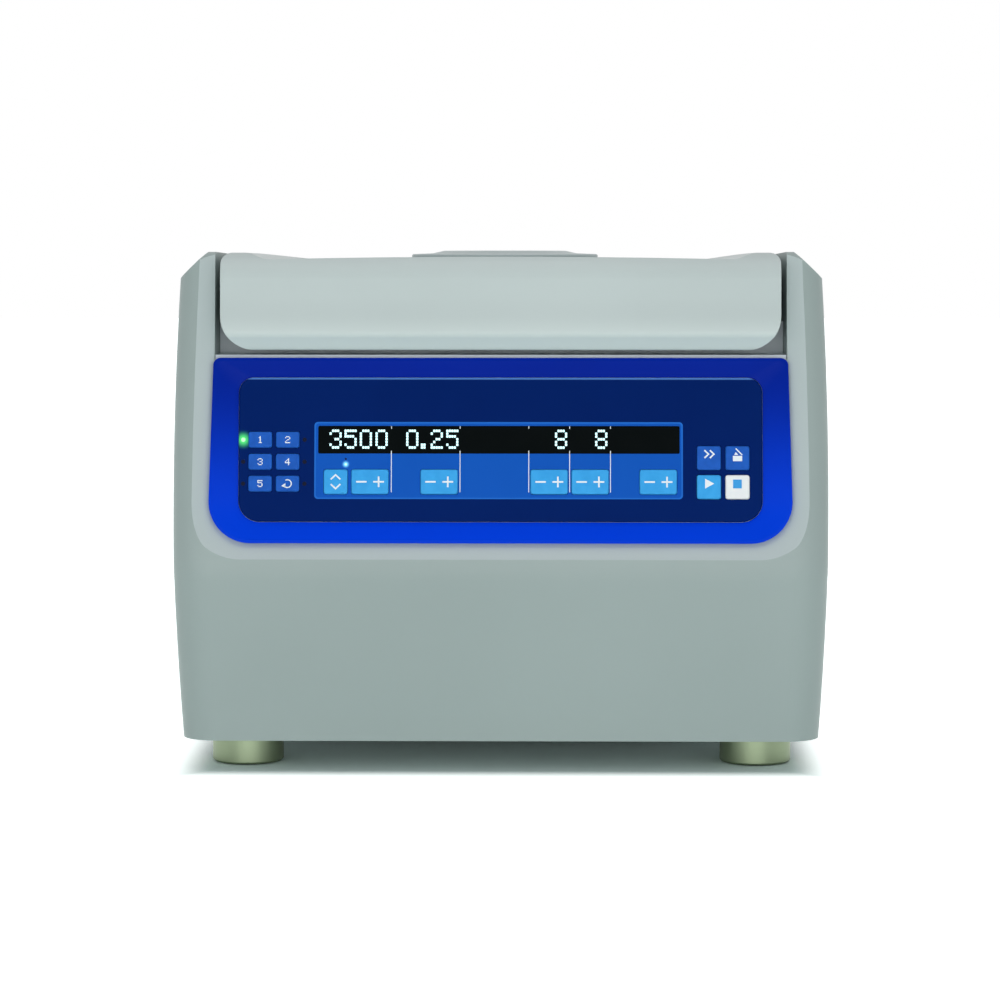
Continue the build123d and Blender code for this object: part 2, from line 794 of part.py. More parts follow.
def make_control_board():
    """The board behind the keypad with its display module and a few tall parts."""
    lap = 3.0
    outline = panel_rectangle(-keypad_half + lap, keypad_half - lap, keypad_bottom_z + lap, keypad_top_z - lap, 2)
    front = bevel_depth + wall
    board = panel_slab(outline, front, front + board_thick)
    module = panel_rectangle(display_left + 2, display_right - 2, display_low_z + 1, display_high_z - 1, 0.5)
    board += panel_slab(module, keypad_depth + display_recess + pane_thick, front)
    for x in board_part_places:
        part = panel_rectangle(x, x + 22, keypad_bottom_z + 12, keypad_bottom_z + 40, 1)
        board += panel_slab(part, front + board_thick, front + board_thick + 9)
    return board


def make_key(name, x, z, width, height):
    """A key cap with a flange that stops behind the keypad, and pivots on it where the key rocks."""
    top = keypad_depth - key_proud
    cap = panel_slab(key_face(x, z, width, height, 0, key_corner), top, top + key_depth)
    front = cap.faces().sort_by(Axis((0, 0, 0), (0, -cos(lean), sin(lean))))[-1]
    cap = chamfer(front.edges(), key_edge)
    flange = key_face(x, z, width, height, key_flange, key_corner)
    cap += panel_slab(flange, bevel_depth + key_stop_gap, top + key_depth)
    if name in rocker_names:
        seat = panel_plane(bevel_depth + rocker_pivot_depth, x, z)
        length = height + 2 * (key_flange + rocker_pivot_reach)
        cap += seat * Rot(90, 0, 0) * Cylinder(rocker_pivot_radius, length)
    return cap


# Deck
def make_deck():
    """The deck under the lid, stepped down at the nose and troughed round the hinge."""
    half = bay_half - deck_clearance
    flange_front = front_at(deck_step_z) + bevel_depth / cos(lean) + 1
    deck = block(-half, half, flange_front, deck_step_back, flange_low_z, deck_step_z)
    deck += block(-half, half, deck_front_y, deck_step_back, flange_low_z, deck_z)
    deck += block(-half, half, deck_front_y, hinge_y - 8, deck_z - deck_thick, deck_z)
    trough = crossbar(-half, half, hinge_y, hinge_z, trough_radius + deck_thick)
    reach = 2 * trough_radius
    trough -= block(-half - 1, half + 1, hinge_y - reach, hinge_y + reach, hinge_z, hinge_z + reach)
    trough -= block(-half - 1, half + 1, hinge_y - reach, hinge_y, deck_z, hinge_z + reach)
    deck += trough
    back_y = hinge_y + trough_radius
    deck += block(-half, half, back_y, back_y + deck_thick, hinge_z - 1, deck_rear_top_z)
    deck -= crossbar(-half - 1, half + 1, hinge_y, hinge_z, trough_radius)
    deck -= post(0, chamber_y, deck_z - 10, deck_z + 10, deck_hole)
    for side in (-1, 1):
        x = side * lock_x
        slot_front, slot_back = striker_y - striker_slot_reach[0], striker_y + striker_slot_reach[1]
        deck -= block(x - striker_slot / 2, x + striker_slot / 2, slot_front, slot_back, deck_z - 10, deck_z + 10)
        x = side * hinge_arm_x
        half_width = hinge_arm_thick / 2 + bracket_clearance
        deck -= block(x - half_width, x + half_width, hinge_y - bracket_half, hinge_y + bracket_half,
                      hinge_z - trough_radius - deck_thick - 1, hinge_z)
    slot_left = spring_x - spring_eye_width / 2 - spring_slot_gap
    slot_right = spring_x + spring_eye_width / 2 + spring_side_gap + spring_cheek + spring_slot_gap
    slot_front, slot_back = (hinge_y - reach for reach in spring_slot_reach)
    deck -= block(slot_left, slot_right, slot_front, slot_back, deck_z - 12, deck_z + 10)
    return deck


def make_chamber_bowl():
    """The steel bowl, hung from the deck by its lip: a rolled wall welded to a pressed floor."""
    r, floor = bowl_radius, bowl_floor_z
    outer = FilletPolyline((boot_radius, floor - bowl_wall), (r + bowl_wall, floor - bowl_wall),
                           (r + bowl_wall, lip_z - bowl_wall), (r + bowl_lip, lip_z - bowl_wall),
                           radius=[bowl_corner + bowl_wall, 1.0])
    inner = FilletPolyline((boot_radius, floor), (r, floor), (r, lip_z), (r + bowl_lip, lip_z),
                           radius=[bowl_corner, 1.0 + bowl_wall])
    ends = [Line(outer @ 0, inner @ 0), Line(outer @ 1, inner @ 1)]
    face = make_face(outer.edges() + inner.edges() + [end.edge() for end in ends])
    bowl = Pos(0, chamber_y, 0) * revolve(Plane.XZ * face, Axis.Z)
    reach = r + bowl_lip + 1
    dish = block(-reach, reach, chamber_y - reach, chamber_y + reach, floor - bowl_wall - 1, floor + bowl_corner)
    return [bowl - dish, bowl & dish]


def make_motor():
    """The motor's ribbed can and bell, bored for the shaft."""
    r, low, high = motor_radius, motor_low_z, motor_high_z
    profile = Polyline((0, low), (r - 4, low), (r, low + 4), (r, high - 14), (r - 22, high), (motor_neck, high),
                       (motor_neck, motor_neck_z), (0, motor_neck_z), (0, low))
    can = revolve(Plane.XZ * make_face(profile), Axis.Z)
    for row in range(motor_rib_count):
        z = low + 14 + row * motor_rib_pitch
        can -= ring(0, 0, z, z + motor_rib_pitch / 2, r + 1, r - motor_rib_depth)
    can -= post(0, 0, shaft_foot_z - 0.3, motor_neck_z + 1, shaft_radius + shaft_clearance)
    return Pos(0, chamber_y, 0) * can


def make_boot():
    """The rubber boot between the motor's neck and the bowl's floor."""
    profile = Polyline((motor_neck, motor_neck_z - 8), (motor_neck, motor_neck_z - 2),
                       (boot_radius - 8, bowl_floor_z - 3), (boot_radius, bowl_floor_z), (boot_radius, bowl_floor_z - 4),
                       (boot_radius - 4, bowl_floor_z - 7), (motor_neck + 6, motor_neck_z - 8),
                       (motor_neck, motor_neck_z - 8))
    return Pos(0, chamber_y, 0) * revolve(Plane.XZ * make_face(profile), Axis.Z)


def damper_places():
    """Centres of the three rubber mounts."""
    turns = [radians(120 * number) for number in range(3)]
    return [(damper_ring * sin(turn), chamber_y + damper_ring * cos(turn)) for turn in turns]


def make_motor_bracket():
    """A three-armed plate that carries the motor."""
    low = motor_low_z - bracket_thick
    plate = post(0, chamber_y, low, motor_low_z, motor_radius + 6)
    for x, y in damper_places():
        plate += post(x, y, low, motor_low_z, damper_radius + 3)
        arm = Pos(x / 2, (y + chamber_y) / 2, (low + motor_low_z) / 2)
        turn = Rot(0, 0, degrees(atan2(y - chamber_y, x)))
        plate += arm * turn * Box(damper_ring, 2 * damper_radius, bracket_thick)
    return plate


def make_dampers():
    """Rubber mounts between the base and the bracket, waisted in the middle."""
    low, high = skirt_z + base_thick, motor_low_z - bracket_thick
    middle = (low + high) / 2
    waist = ThreePointArc((damper_radius, low), (damper_radius - 3, middle), (damper_radius, high))
    rest = Polyline((damper_radius, high), (0, high), (0, low), (damper_radius, low))
    damper = revolve(Plane.XZ * make_face(waist.edges() + rest.edges()), Axis.Z)
    return [Pos(x, y, 0) * damper for x, y in damper_places()]


def make_power_board():
    """The drive's board on four posts, with a finned heat sink and two capacitors."""
    low = skirt_z + base_thick
    z = low + board_post
    board = block(board_left, board_right, board_front, board_back, z, z + board_thick)
    for x in (board_left + 6, board_right - 6):
        for y in (board_front + 6, board_back - 6):
            board += post(x, y, low, z, 3.5)
    sink_x = board_left + 20
    board += block(sink_x, sink_x + 66, board_front + 12, board_back - 12, z + board_thick, z + board_thick + 4)
    for fin in range(7):
        x = sink_x + fin * 10.5
        board += block(x, x + 2.5, board_front + 12, board_back - 12, z + board_thick + 3, z + board_thick + 34)
    for y in (board_front + 30, board_back - 30):
        board += post(board_right - 40, y, z + board_thick, z + board_thick + 42, 15)
    return board


# Lock
def make_lock_bar():
    """A cross shaft with a hook keyed on near each end; both hooks turn over the strikers together."""
    shaft = crossbar(-lock_x - lock_bearing, lock_x + lock_bearing, lock_y, lock_z, lock_bar_radius)
    far = 2 * claw_outer
    corners = [polar(far, angle) for angle in (claw_tip_angle, 90, claw_root_angle)]
    sector = make_face(Polyline((0, 0), *corners, (0, 0)))
    arm_tips = [polar(claw_outer - 0.5, angle) for angle in (claw_root_angle - 14, claw_root_angle)]
    arm_face = make_face(Polyline((0, 0), *arm_tips, (0, 0)))
    hooks = []
    for side in (-1, 1):
        x0, x1 = side * lock_x - claw_width / 2, side * lock_x + claw_width / 2
        claw = crossbar(x0, x1, lock_y, lock_z, claw_outer) - crossbar(x0 - 1, x1 + 1, lock_y, lock_z, claw_inner)
        claw &= across(Pos(lock_y, lock_z) * sector, x0, x1)
        arm = across(Pos(lock_y, lock_z) * arm_face, x0, x1)
        collar = crossbar(x0, x1, lock_y, lock_z, lock_bar_radius + 3)
        hooks.append(claw + arm + collar - crossbar(x0 - 1, x1 + 1, lock_y, lock_z, lock_bar_radius))
    return [shaft, *hooks]


def polar(radius, angle):
    """A point by its radius and its angle in degrees."""
    return (radius * cos(radians(angle)), radius * sin(radians(angle)))


def make_lock_housings():
    """Two bearing blocks under the deck that carry the lock bar."""
    blocks = []
    front, back = lock_y - lock_housing_front, lock_y + lock_housing_back
    low, high = lock_z - 14, deck_z - deck_thick
    bore = lock_bar_radius + shaft_clearance
    for side in (-1, 1):
        left, right = side * lock_x - lock_bearing, side * lock_x + lock_bearing
        outer = block(left, right, front, back, low, high)
        outer -= block(left + 3, right - 3, front - 1, back + 1, low + 3, high + 1)
        outer -= crossbar(left - 1, right + 1, lock_y, lock_z, bore)
        blocks.append(outer)
    return blocks


def make_strikers():
    """Two bent loops on the lid's liner, each with a crossbar for its claw."""
    loops = []
    for side in (-1, 1):
        x = side * lock_x
        half = striker_width / 2
        low = striker_bar_z - striker_bar - 2
        loop = block(x - half, x + half, striker_y - 5, striker_y + 5, low, liner_z)
        loop -= block(x - half + 3, x + half - 3, striker_y - 6, striker_y + 6, low - 1, liner_z - 3)
        loop += crossbar(x - half, x + half, striker_y, striker_bar_z, striker_bar)
        loops.append(loop)
    return loops


# Lid
def lid_side_face(inset=0.0):
    """The lid from the side: rolled nose, falling top and hinge roll."""
    top_slope = (lid_shoulder_z - hinge_z - hinge_roll) / (hinge_y + nose_reach)
    top_at_nose = lid_shoulder_z + 0.5
    points = [
        (-nose_reach + nose_bevel[0], nose_low_z),
        (-nose_reach, nose_low_z + nose_bevel[1]),
        (-nose_reach + 3.4, nose_low_z + 32),
        (-nose_reach + 5, top_at_nose),
        (hinge_y, hinge_z + hinge_roll),
        (hinge_y, lid_under_z),
        (nose_back_y, lid_under_z),
        (nose_back_y, nose_low_z),
    ]
    face = rounded(points, [4, 6, 40, nose_round, 0, 0, 5, 3])
    face += Pos(hinge_y, hinge_z) * Circle(hinge_roll)
    return offset(face, -inset) if inset else face


def lid_front_face(inset=0.0):
    """The lid from the front: round lower corners, raised shoulders and a slight crown."""
    half, low = lid_half - inset, nose_low_z + inset
    corner = lid_corner - inset
    shoulder, dip, crown = lid_shoulder_z - inset, lid_dip_z - inset, lid_crown_z - inset
    edge = lid_edge
    side = Line((half, low + corner), (half, shoulder - edge))
    lower = RadiusArc((half - corner, low), (half, low + corner), -corner)
    upper = RadiusArc((half, shoulder - edge), (half - edge, shoulder), -edge)
    flat = Line((half - edge, shoulder), (shoulder_inner, shoulder))
    slope = Spline((shoulder_inner, shoulder), (dip_outer, dip), tangents=[(-1, 0), (-1, 0)])
    right = [curve.edge() for curve in (lower, side, upper, flat, slope)]
    left = [mirror(edge_piece, Plane.YZ).edge() for edge_piece in right]
    bottom = Line((-half + corner, low), (half - corner, low)).edge()
    top = ThreePointArc((-dip_outer, dip), (0, crown), (dip_outer, dip)).edge()
    return make_face(right + left + [bottom, top])


def lid_form(inset=0.0):
    """The lid's outer form, or the same form shrunk by an inset."""
    start = -nose_reach - 20
    run = hinge_y + hinge_roll + 40 - start
    fall = (lid_crown_z - hinge_z - hinge_roll) / (hinge_y + nose_reach)
    face = Plane.XZ.offset(-start) * Pos(0, 20 * fall) * lid_front_face(inset)
    sheared = extrude(face, run * hypot(1, fall), dir=(0, 1, -fall))
    reach = lid_half + 10
    return sheared & across(lid_side_face(inset), -reach, reach)


def port():
    """The hole through lid and liner for the window's tube."""
    return post(0, chamber_y, liner_z - 10, lid_shoulder_z + above_all, viewport_pane + viewport_wall + 0.3)


def make_lid_shell(outer, inner):
    """The lid's moulded shell, open below, with its port and hinge notches."""
    half = lid_half - lid_wall
    shell = outer - inner
    shell -= block(-half + 0.1, half - 0.1, liner_front_y, liner_back_y, lid_under_z - 5, liner_z + 5)
    shell -= port()
    for side in (-1, 1):
        x = side * hinge_arm_x
        half_notch = hinge_arm_thick / 2 + 2.5
        shell -= block(x - half_notch, x + half_notch, hinge_y - 14, hinge_y + 40, hinge_z - 40, hinge_z + 7)
    return shell


def make_lid_liner():
    """The flat inner skin of the lid, notched for the gas spring."""
    half = lid_half - lid_wall - 0.2
    corners = [(-half, liner_front_y + 0.2), (half, liner_front_y + 0.2), (half, liner_back_y - 0.2),
               (-half, liner_back_y - 0.2)]
    liner = upward(rounded(corners, [12, 12, 3, 3]), liner_z, liner_z + liner_thick)
    liner -= port()
    notch_front, notch_back = (hinge_y - reach for reach in spring_notch_reach)
    return liner - block(-bay_half, spring_x + spring_eye_width / 2 + spring_side_gap, notch_front, notch_back,
                         liner_z - 1, liner_z + liner_thick + 1)


def make_viewport_bezel(outer):
    """The raised cone on the lid with its tube down to the liner."""
    low = liner_z
    wall_r = viewport_pane + viewport_wall
    ledge_z, inner_r = viewport_z - 7, viewport_pane - 4
    profile = Polyline((inner_r, low), (wall_r, low), (wall_r, lid_dip_z - 12), (viewport_base, lid_dip_z - 12),
                       (viewport_base, viewport_seat_z - 0.8), (viewport_base - 0.8, viewport_seat_z),
                       (viewport_shelf, viewport_shelf_z), (viewport_top, viewport_z),
                       (viewport_pane, viewport_z - 1), (viewport_pane, ledge_z), (inner_r, ledge_z), (inner_r, low))
    cone = Pos(0, chamber_y, 0) * revolve(Plane.XZ * make_face(profile), Axis.Z)
    skirt = ring(0, chamber_y, low - 1, lid_shoulder_z + above_all, viewport_base + 5, wall_r)
    return cone - (outer & skirt)


def make_hinge_arms(inner):
    """Lid side of the hinges: two eyes beside each bracket, and the plate beside the gas spring."""
    arms = []
    for side in (-1, 1):
        for hand in (-1, 1):
            near = side * hinge_arm_x + hand * (hinge_arm_thick / 2 + 0.5)
            far = near + hand * arm_plate
            left, right = min(near, far), max(near, far)
            plate = crossbar(left, right, hinge_y, hinge_z, hinge_eye)
            web = block(left, right, hinge_y - 44, hinge_y + 4, hinge_z, lid_shoulder_z)
            plate += web - block(left - 1, right + 1, hinge_y - 60, hinge_y - hinge_eye, 0, hinge_z + 8)
            plate &= inner
            plate -= crossbar(left - 1, right + 1, hinge_y, hinge_z, hinge_pin_radius + shaft_clearance)
            arms.append(plate)
    x = spring_x + spring_eye_width / 2 + spring_side_gap
    pin_y, pin_z = hinge_y - spring_pin_back, hinge_z - spring_pin_drop
    arms.append(block(x, x + spring_cheek, pin_y - 8, pin_y + 8, pin_z - 4, liner_z))
    return arms


def make_hinge_brackets():
    """Housing side of the hinges: an upright eye with its pin and a foot under the deck."""
    brackets = []
    low = hinge_z - trough_radius - deck_thick
    for side in (-1, 1):
        x = side * hinge_arm_x
        left, right = x - hinge_arm_thick / 2, x + hinge_arm_thick / 2
        bracket = crossbar(left, right, hinge_y, hinge_z, hinge_eye)
        bracket += block(left, right, hinge_y - bracket_half + 0.3, hinge_y + bracket_half - 0.3, low - 4, hinge_z)
        bracket += block(x - 16, x + 16, hinge_y - 20, hinge_y + 20, low - 4, low)
        reach = hinge_arm_thick / 2 + 0.5 + arm_plate + 1
        bracket += crossbar(x - reach, x + reach, hinge_y, hinge_z, hinge_pin_radius)
        brackets.append(bracket)
    return brackets


# Gas spring
def spring_line():
    """The spring's lower pivot, its direction at rest and its length, in (Y, Z)."""
    pin = (hinge_y - spring_pin_back, hinge_z - spring_pin_drop)
    run, rise = pin[0] - spring_low_y, pin[1] - spring_low_z
    return run, rise, hypot(run, rise)


def spring_plane():
    """A plane at the lower pivot whose Z points along the spring."""
    run, rise, length = spring_line()
    origin = (spring_x, spring_low_y, spring_low_z)
    return Plane(origin=origin, x_dir=(1, 0, 0), z_dir=(0, run / length, rise / length))


def spring_eye(distance):
    """An eye across the spring's line at a distance from the lower pivot."""
    return Pos(0, 0, distance) * Rot(0, 90, 0) * Cylinder(spring_eye_radius, spring_eye_width)


def make_spring_cylinder():
    """The gas spring's tube with its lower eye, bored for the rod."""
    shape = spring_eye(0) + Pos(0, 0, 6 + spring_neck / 2) * Cylinder(spring_neck_radius, spring_neck)
    middle, top = spring_tube_start + spring_tube_length / 2, spring_tube_start + spring_tube_length
    shape += Pos(0, 0, middle) * Cylinder(spring_cylinder_radius, spring_tube_length)
    shape -= Rot(0, 90, 0) * Cylinder(spring_pin_radius + shaft_clearance, 2 * spring_eye_width)
    bore = Cylinder(spring_rod_radius + shaft_clearance, spring_bore + 2)
    shape -= Pos(0, 0, top - spring_bore / 2 + 1) * bore
    return spring_plane() * shape


def make_spring_rod():
    """The polished rod with its upper eye."""
    length = spring_line()[2]
    start = spring_tube_start + spring_tube_length - spring_bore + 2
    rod = Pos(0, 0, (start + length) / 2) * Cylinder(spring_rod_radius, length - start)
    return spring_plane() * (rod + spring_eye(length))


# Rotor
def make_drive_shaft():
    """The motor's shaft, up through the boot into the rotor's hub."""
    return post(0, chamber_y, shaft_foot_z, cross_high_z, shaft_radius)


def make_rotor_cross():
    """The swing-out cross: four arms cut from one disc, with trunnion pins in each pocket."""
    disc = post(0, 0, cross_low_z, cross_high_z, cross_radius)
    body = chamfer(disc.edges(), cross_edge)
    for quarter in range(4):
        turn = Rot(0, 0, 90 * quarter)
        low, high = cross_low_z - 1, cross_high_z + 1
        pocket = post(pivot_ring, 0, low, high, pocket_round)
        pocket += block(pivot_ring - pocket_square, cross_radius + 5, -slot_half, slot_half, low, high)
        body -= turn * pocket
    body += post(0, 0, hub_low_z, hub_top_z, hub_radius)
    body -= post(0, 0, hub_low_z - 1, cross_high_z, shaft_radius)
    body += post(0, 0, hub_top_z, knob_top_z, knob_radius)
    body -= post(0, 0, knob_top_z - button_well, knob_top_z + 1, button_radius + 0.3)
    for quarter in range(4):
        turn = Rot(0, 0, 90 * quarter)
        for side in (-1, 1):
            pin = Pos(pivot_ring, side * (slot_half + 1 - (trunnion_length + 1) / 2), pivot_z)
            body += turn * pin * Rot(90, 0, 0) * Cylinder(trunnion_radius, trunnion_length + 1)
    return Pos(0, chamber_y, 0) * body


def make_rotor_button():
    """The lock button in the middle of the rotor's knob."""
    return post(0, chamber_y, knob_top_z - button_well + button_travel + 0.5, knob_top_z + 2, button_radius)


def make_bucket(quarter):
    """A round bucket with two ears that hang on the cross's pins."""
    r, floor = bucket_radius, bucket_low_z
    outer = FilletPolyline((0, floor), (r, floor), (r, bucket_top_z - 6), radius=bucket_corner)
    rim = Polyline(outer @ 1, (bucket_rim, bucket_top_z - 6), (bucket_rim, bucket_top_z),
                   (r - bucket_wall, bucket_top_z))
    inner = FilletPolyline((r - bucket_wall, bucket_top_z), (r - bucket_wall, floor + bucket_wall),
                           (0, floor + bucket_wall), radius=bucket_corner - bucket_wall)
    close = Line((0, floor + bucket_wall), (0, floor))
    face = make_face(outer.edges() + rim.edges() + inner.edges() + close.edges())
    shape = revolve(Plane.XZ * face, Axis.Z)
    for side in (-1, 1):
        y0, y1 = side * (r - bucket_wall + 0.5), side * ear_half
        ear = block(-ear_width / 2, ear_width / 2, y0, y1, pivot_z - ear_drop, bucket_top_z)
        ear -= post(0, 0, floor, bucket_top_z + 1, r - 0.5)
        g = trunnion_radius + groove_clearance
        groove = Pos(0, side * slot_half, pivot_z) * Rot(90, 0, 0) * Cylinder(g, 30)
        groove += block(-g, g, side * slot_half - 15, side * slot_half + 15, pivot_z - ear_drop - 5, pivot_z)
        groove -= post(0, 0, floor, bucket_top_z + 1, r)
        shape += ear - groove
    return Pos(0, chamber_y, 0) * Rot(0, 0, 90 * quarter) * Pos(pivot_ring, 0, 0) * shape


# Screws
def screw(x, y, z, up=1):
    """A button-head screw with a hex socket, its head standing from height z."""
    head = post(x, y, min(z, z + up * 1.6), max(z, z + up * 1.6), screw_radius)
    socket = Pos(x, y, z + up * 1.6) * extrude(RegularPolygon(1.6, 6), 0.8, both=True)
    return head - socket


def make_housing_screws():
    """Screws that hold the deck down and the base plate up."""
    front, back = deck_front_y + 28, hinge_y - 78
    places = [(-bay_half + 12, front), (bay_half - 12, front), (bay_half - 12, back)]
    screws = [screw(x, y, deck_z) for x, y in places]
    places = [(side * foot_x, y) for side in (-1, 1) for y in base_screw_rows]
    return screws + [screw(x, y, skirt_z, up=-1) for x, y in places]


def make_lid_screws():
    """Screws that hold the liner to the lid."""
    x = lid_half - 14
    rows = (liner_front_y + 19, chamber_y - 90, chamber_y + 130)
    return [screw(side * x, y, liner_z, up=-1) for side in (-1, 1) for y in rows]


def main():
    """Builds and writes every node."""
    os.makedirs("parts", exist_ok=True)
    outer, inner = casing_form(), casing_form(wall)
    outer &= layer(skirt_z, cheek_top_z + above_all)
    save("housing_shell", make_housing_shell(outer, inner))
    save("base_plate", make_base_plate(inner))
    save("rear_panel", make_rear_panel())
    save("power_inlet", make_power_inlet())
    save("switch_frame", make_switch_frame())
    save("power_rocker", make_power_rocker())
    save("feet", *make_feet())
    save("foot_pads", *make_foot_pads())
    save("panel_bezel", make_panel_bezel())
    save("keypad_plate", make_keypad_plate())
    save("display_window", make_display_window())
    save("status_lights", *make_status_lights())
    save("control_board", make_control_board())
    for name, place in key_table().items():
        save(name, make_key(name, *place))
    save("deck", make_deck())
    save("chamber_bowl", *make_chamber_bowl())
    guard_outer, seal_inner = guard_inner + guard_thick, deck_hole + 1
    save("guard_ring", ring(0, chamber_y, skirt_z + base_thick, guard_top_z, guard_outer, guard_inner))
    save("lid_seal", ring(0, chamber_y, deck_z, deck_z + seal_height, seal_inner + seal_width, seal_inner))
    save("motor_housing", make_motor())
    save("motor_boot", make_boot())
    save("motor_bracket", make_motor_bracket())
    save("motor_dampers", *make_dampers())
    save("power_board", make_power_board())
    save("lock_bar", *make_lock_bar())
    save("lock_housings", *make_lock_housings())
    save("lock_strikers", *make_strikers())
    lid_outer, lid_inner = lid_form(), lid_form(lid_wall)
    save("lid_shell", make_lid_shell(lid_outer, lid_inner))
    save("lid_liner", make_lid_liner())
    save("viewport_bezel", make_viewport_bezel(lid_outer))
    save("viewport_window", post(0, chamber_y, viewport_z - 7, viewport_z - 2, viewport_pane))
    save("hinge_arms", *make_hinge_arms(lid_inner))
    save("hinge_brackets", *make_hinge_brackets())
    save("gas_spring_cylinder", make_spring_cylinder())
    save("gas_spring_rod", make_spring_rod())
    save("drive_shaft", make_drive_shaft())
    save("rotor_cross", make_rotor_cross())
    save("rotor_button", make_rotor_button())
    for quarter in range(4):
        save(f"bucket_{quarter + 1}", make_bucket(quarter))
    save("housing_screws", *make_housing_screws())
    save("lid_screws", *make_lid_screws())


if __name__ == "__main__":
    main()
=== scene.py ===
# %% [markdown]
# # A benchtop centrifuge
#
# A centrifuge on a laboratory bench is a heavy plastic-skinned box. Its lid lifts off a steel bowl where
# a rotor spins, and a film keypad leans on its front. The shapes come ready made from the CAD model, so
# this lesson dresses them: it sets up a camera and a soft studio, mixes one finish for each material the
# real machine is made of, and adds the printed and lit details that a solid model leaves out.

# %% Load the frame
import math

import bmesh
import bpy
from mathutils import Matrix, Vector


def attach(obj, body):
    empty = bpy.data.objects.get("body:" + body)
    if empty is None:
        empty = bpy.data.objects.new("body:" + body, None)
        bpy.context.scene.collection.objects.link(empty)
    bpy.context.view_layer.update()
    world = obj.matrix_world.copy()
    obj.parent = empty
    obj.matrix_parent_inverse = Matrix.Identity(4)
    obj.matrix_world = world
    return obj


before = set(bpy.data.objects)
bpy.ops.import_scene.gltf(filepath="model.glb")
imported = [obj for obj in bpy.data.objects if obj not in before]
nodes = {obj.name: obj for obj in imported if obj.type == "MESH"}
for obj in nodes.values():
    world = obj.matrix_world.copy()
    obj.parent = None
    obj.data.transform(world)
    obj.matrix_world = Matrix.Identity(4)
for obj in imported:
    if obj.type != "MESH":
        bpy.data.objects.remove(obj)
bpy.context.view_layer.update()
print("pieces from the CAD model:", len(nodes))

# %% [markdown]
# ## The camera
#
# The photograph is a catalogue shot: taken from straight ahead, a little above the middle, with a long
# lens. A long lens keeps the sides from splaying, so the camera goes over two metres away and its view
# is narrow. It could be placed by eye, but three measured numbers are surer: how wide the frame is where
# the front panel stands, how high the horizon lies, and which point is in the middle of the picture.

# %% Place the camera
PANEL_Y = -0.28              # the plane that the sizes were measured in
FRAME_WIDTH = 0.6697         # metres across the picture in that plane
DISTANCE = 2.2
AIM = Vector((-0.0003, PANEL_Y, 0.1835))
EYE = Vector((0.03, 0, 0.36))
SENSOR = 36.0                # millimetres

EYE.y = AIM.y - math.sqrt(DISTANCE ** 2 - (EYE.z - AIM.z) ** 2 - (EYE.x - AIM.x) ** 2)
camera_data = bpy.data.cameras.new("camera")
camera_data.sensor_fit = "HORIZONTAL"
camera_data.sensor_width = SENSOR
camera_data.lens = SENSOR * DISTANCE / FRAME_WIDTH
camera = bpy.data.objects.new("camera", camera_data)
camera.location = EYE
camera.rotation_euler = (AIM - EYE).to_track_quat("-Z", "Y").to_euler()
bpy.context.scene.collection.objects.link(camera)
bpy.context.scene.camera = camera
bpy.context.scene.view_settings.view_transform = "Standard"
looking_down = math.degrees(math.asin((EYE.z - AIM.z) / DISTANCE))
print("lens:", round(camera_data.lens, 1), "mm, looking down", round(looking_down, 1), "degrees")

# %% [markdown]
# ## Sums on sockets
#
# A finish is a small graph of nodes. Wired by hand in Python it turns into pages of links, so this lesson
# writes it as sums. `Wire` holds one socket, and its operators add Math nodes, so `0.4 + grain * 0.1` is
# both readable and a graph. Colours and directions don't survive a Math node, which would turn them grey,
# so `blend` goes through a Mix node instead.

# %% Wrap a socket
class Wire:
    """One socket of a finish, which Python can do sums with."""

    def __init__(self, finish, socket):
        self.finish = finish
        self.socket = socket

    def math(self, operation, *terms):
        return self.finish.node("ShaderNodeMath", {"operation": operation}, dict(enumerate(terms)))

    def __add__(self, other):
        return self.math("ADD", self, other)

    def __sub__(self, other):
        return self.math("SUBTRACT", self, other)

    def __rsub__(self, other):
        return self.math("SUBTRACT", other, self)

    def __mul__(self, other):
        return self.math("MULTIPLY", self, other)

    __radd__ = __add__
    __rmul__ = __mul__

    def below(self, limit):
        return self.math("LESS_THAN", self, limit)

    def size(self):
        return self.math("ABSOLUTE", self)

    def steps(self, low, high):
        """0 below low, 1 above high, and a soft ramp between them."""
        return self.finish.node("ShaderNodeMapRange", {"interpolation_type": "SMOOTHSTEP"},
                                {"Value": self, "From Min": low, "From Max": high})

# %% Make nodes
class Graph:
    """A tree of nodes. Every node in this lesson is made by its one method, node."""

    def __init__(self, owner):
        owner.use_nodes = True
        self.tree = owner.node_tree
        self.tree.nodes.clear()

    def plug(self, socket, value):
        if isinstance(value, Wire):
            self.tree.links.new(value.socket, socket)
        elif hasattr(value, "__len__") and socket.type == "RGBA" and len(value) == 3:
            socket.default_value = (*value, 1.0)
        else:
            socket.default_value = value

    def node(self, kind, settings=None, inputs=None, output=0):
        made = self.tree.nodes.new(kind)
        for name, value in (settings or {}).items():
            setattr(made, name, value)
        for name, value in (inputs or {}).items():
            self.plug(made.inputs[name], value)
        return Wire(self, made.outputs[output]) if made.outputs else None

    def rays(self, *kinds):
        """1 for rays of the kinds that are named, such as those from the camera."""
        seen = [self.node("ShaderNodeLightPath", output=f"Is {kind} Ray") for kind in kinds]
        share = seen[0]
        for kind in seen[1:]:
            share = share.math("MAXIMUM", share, kind)
        return share

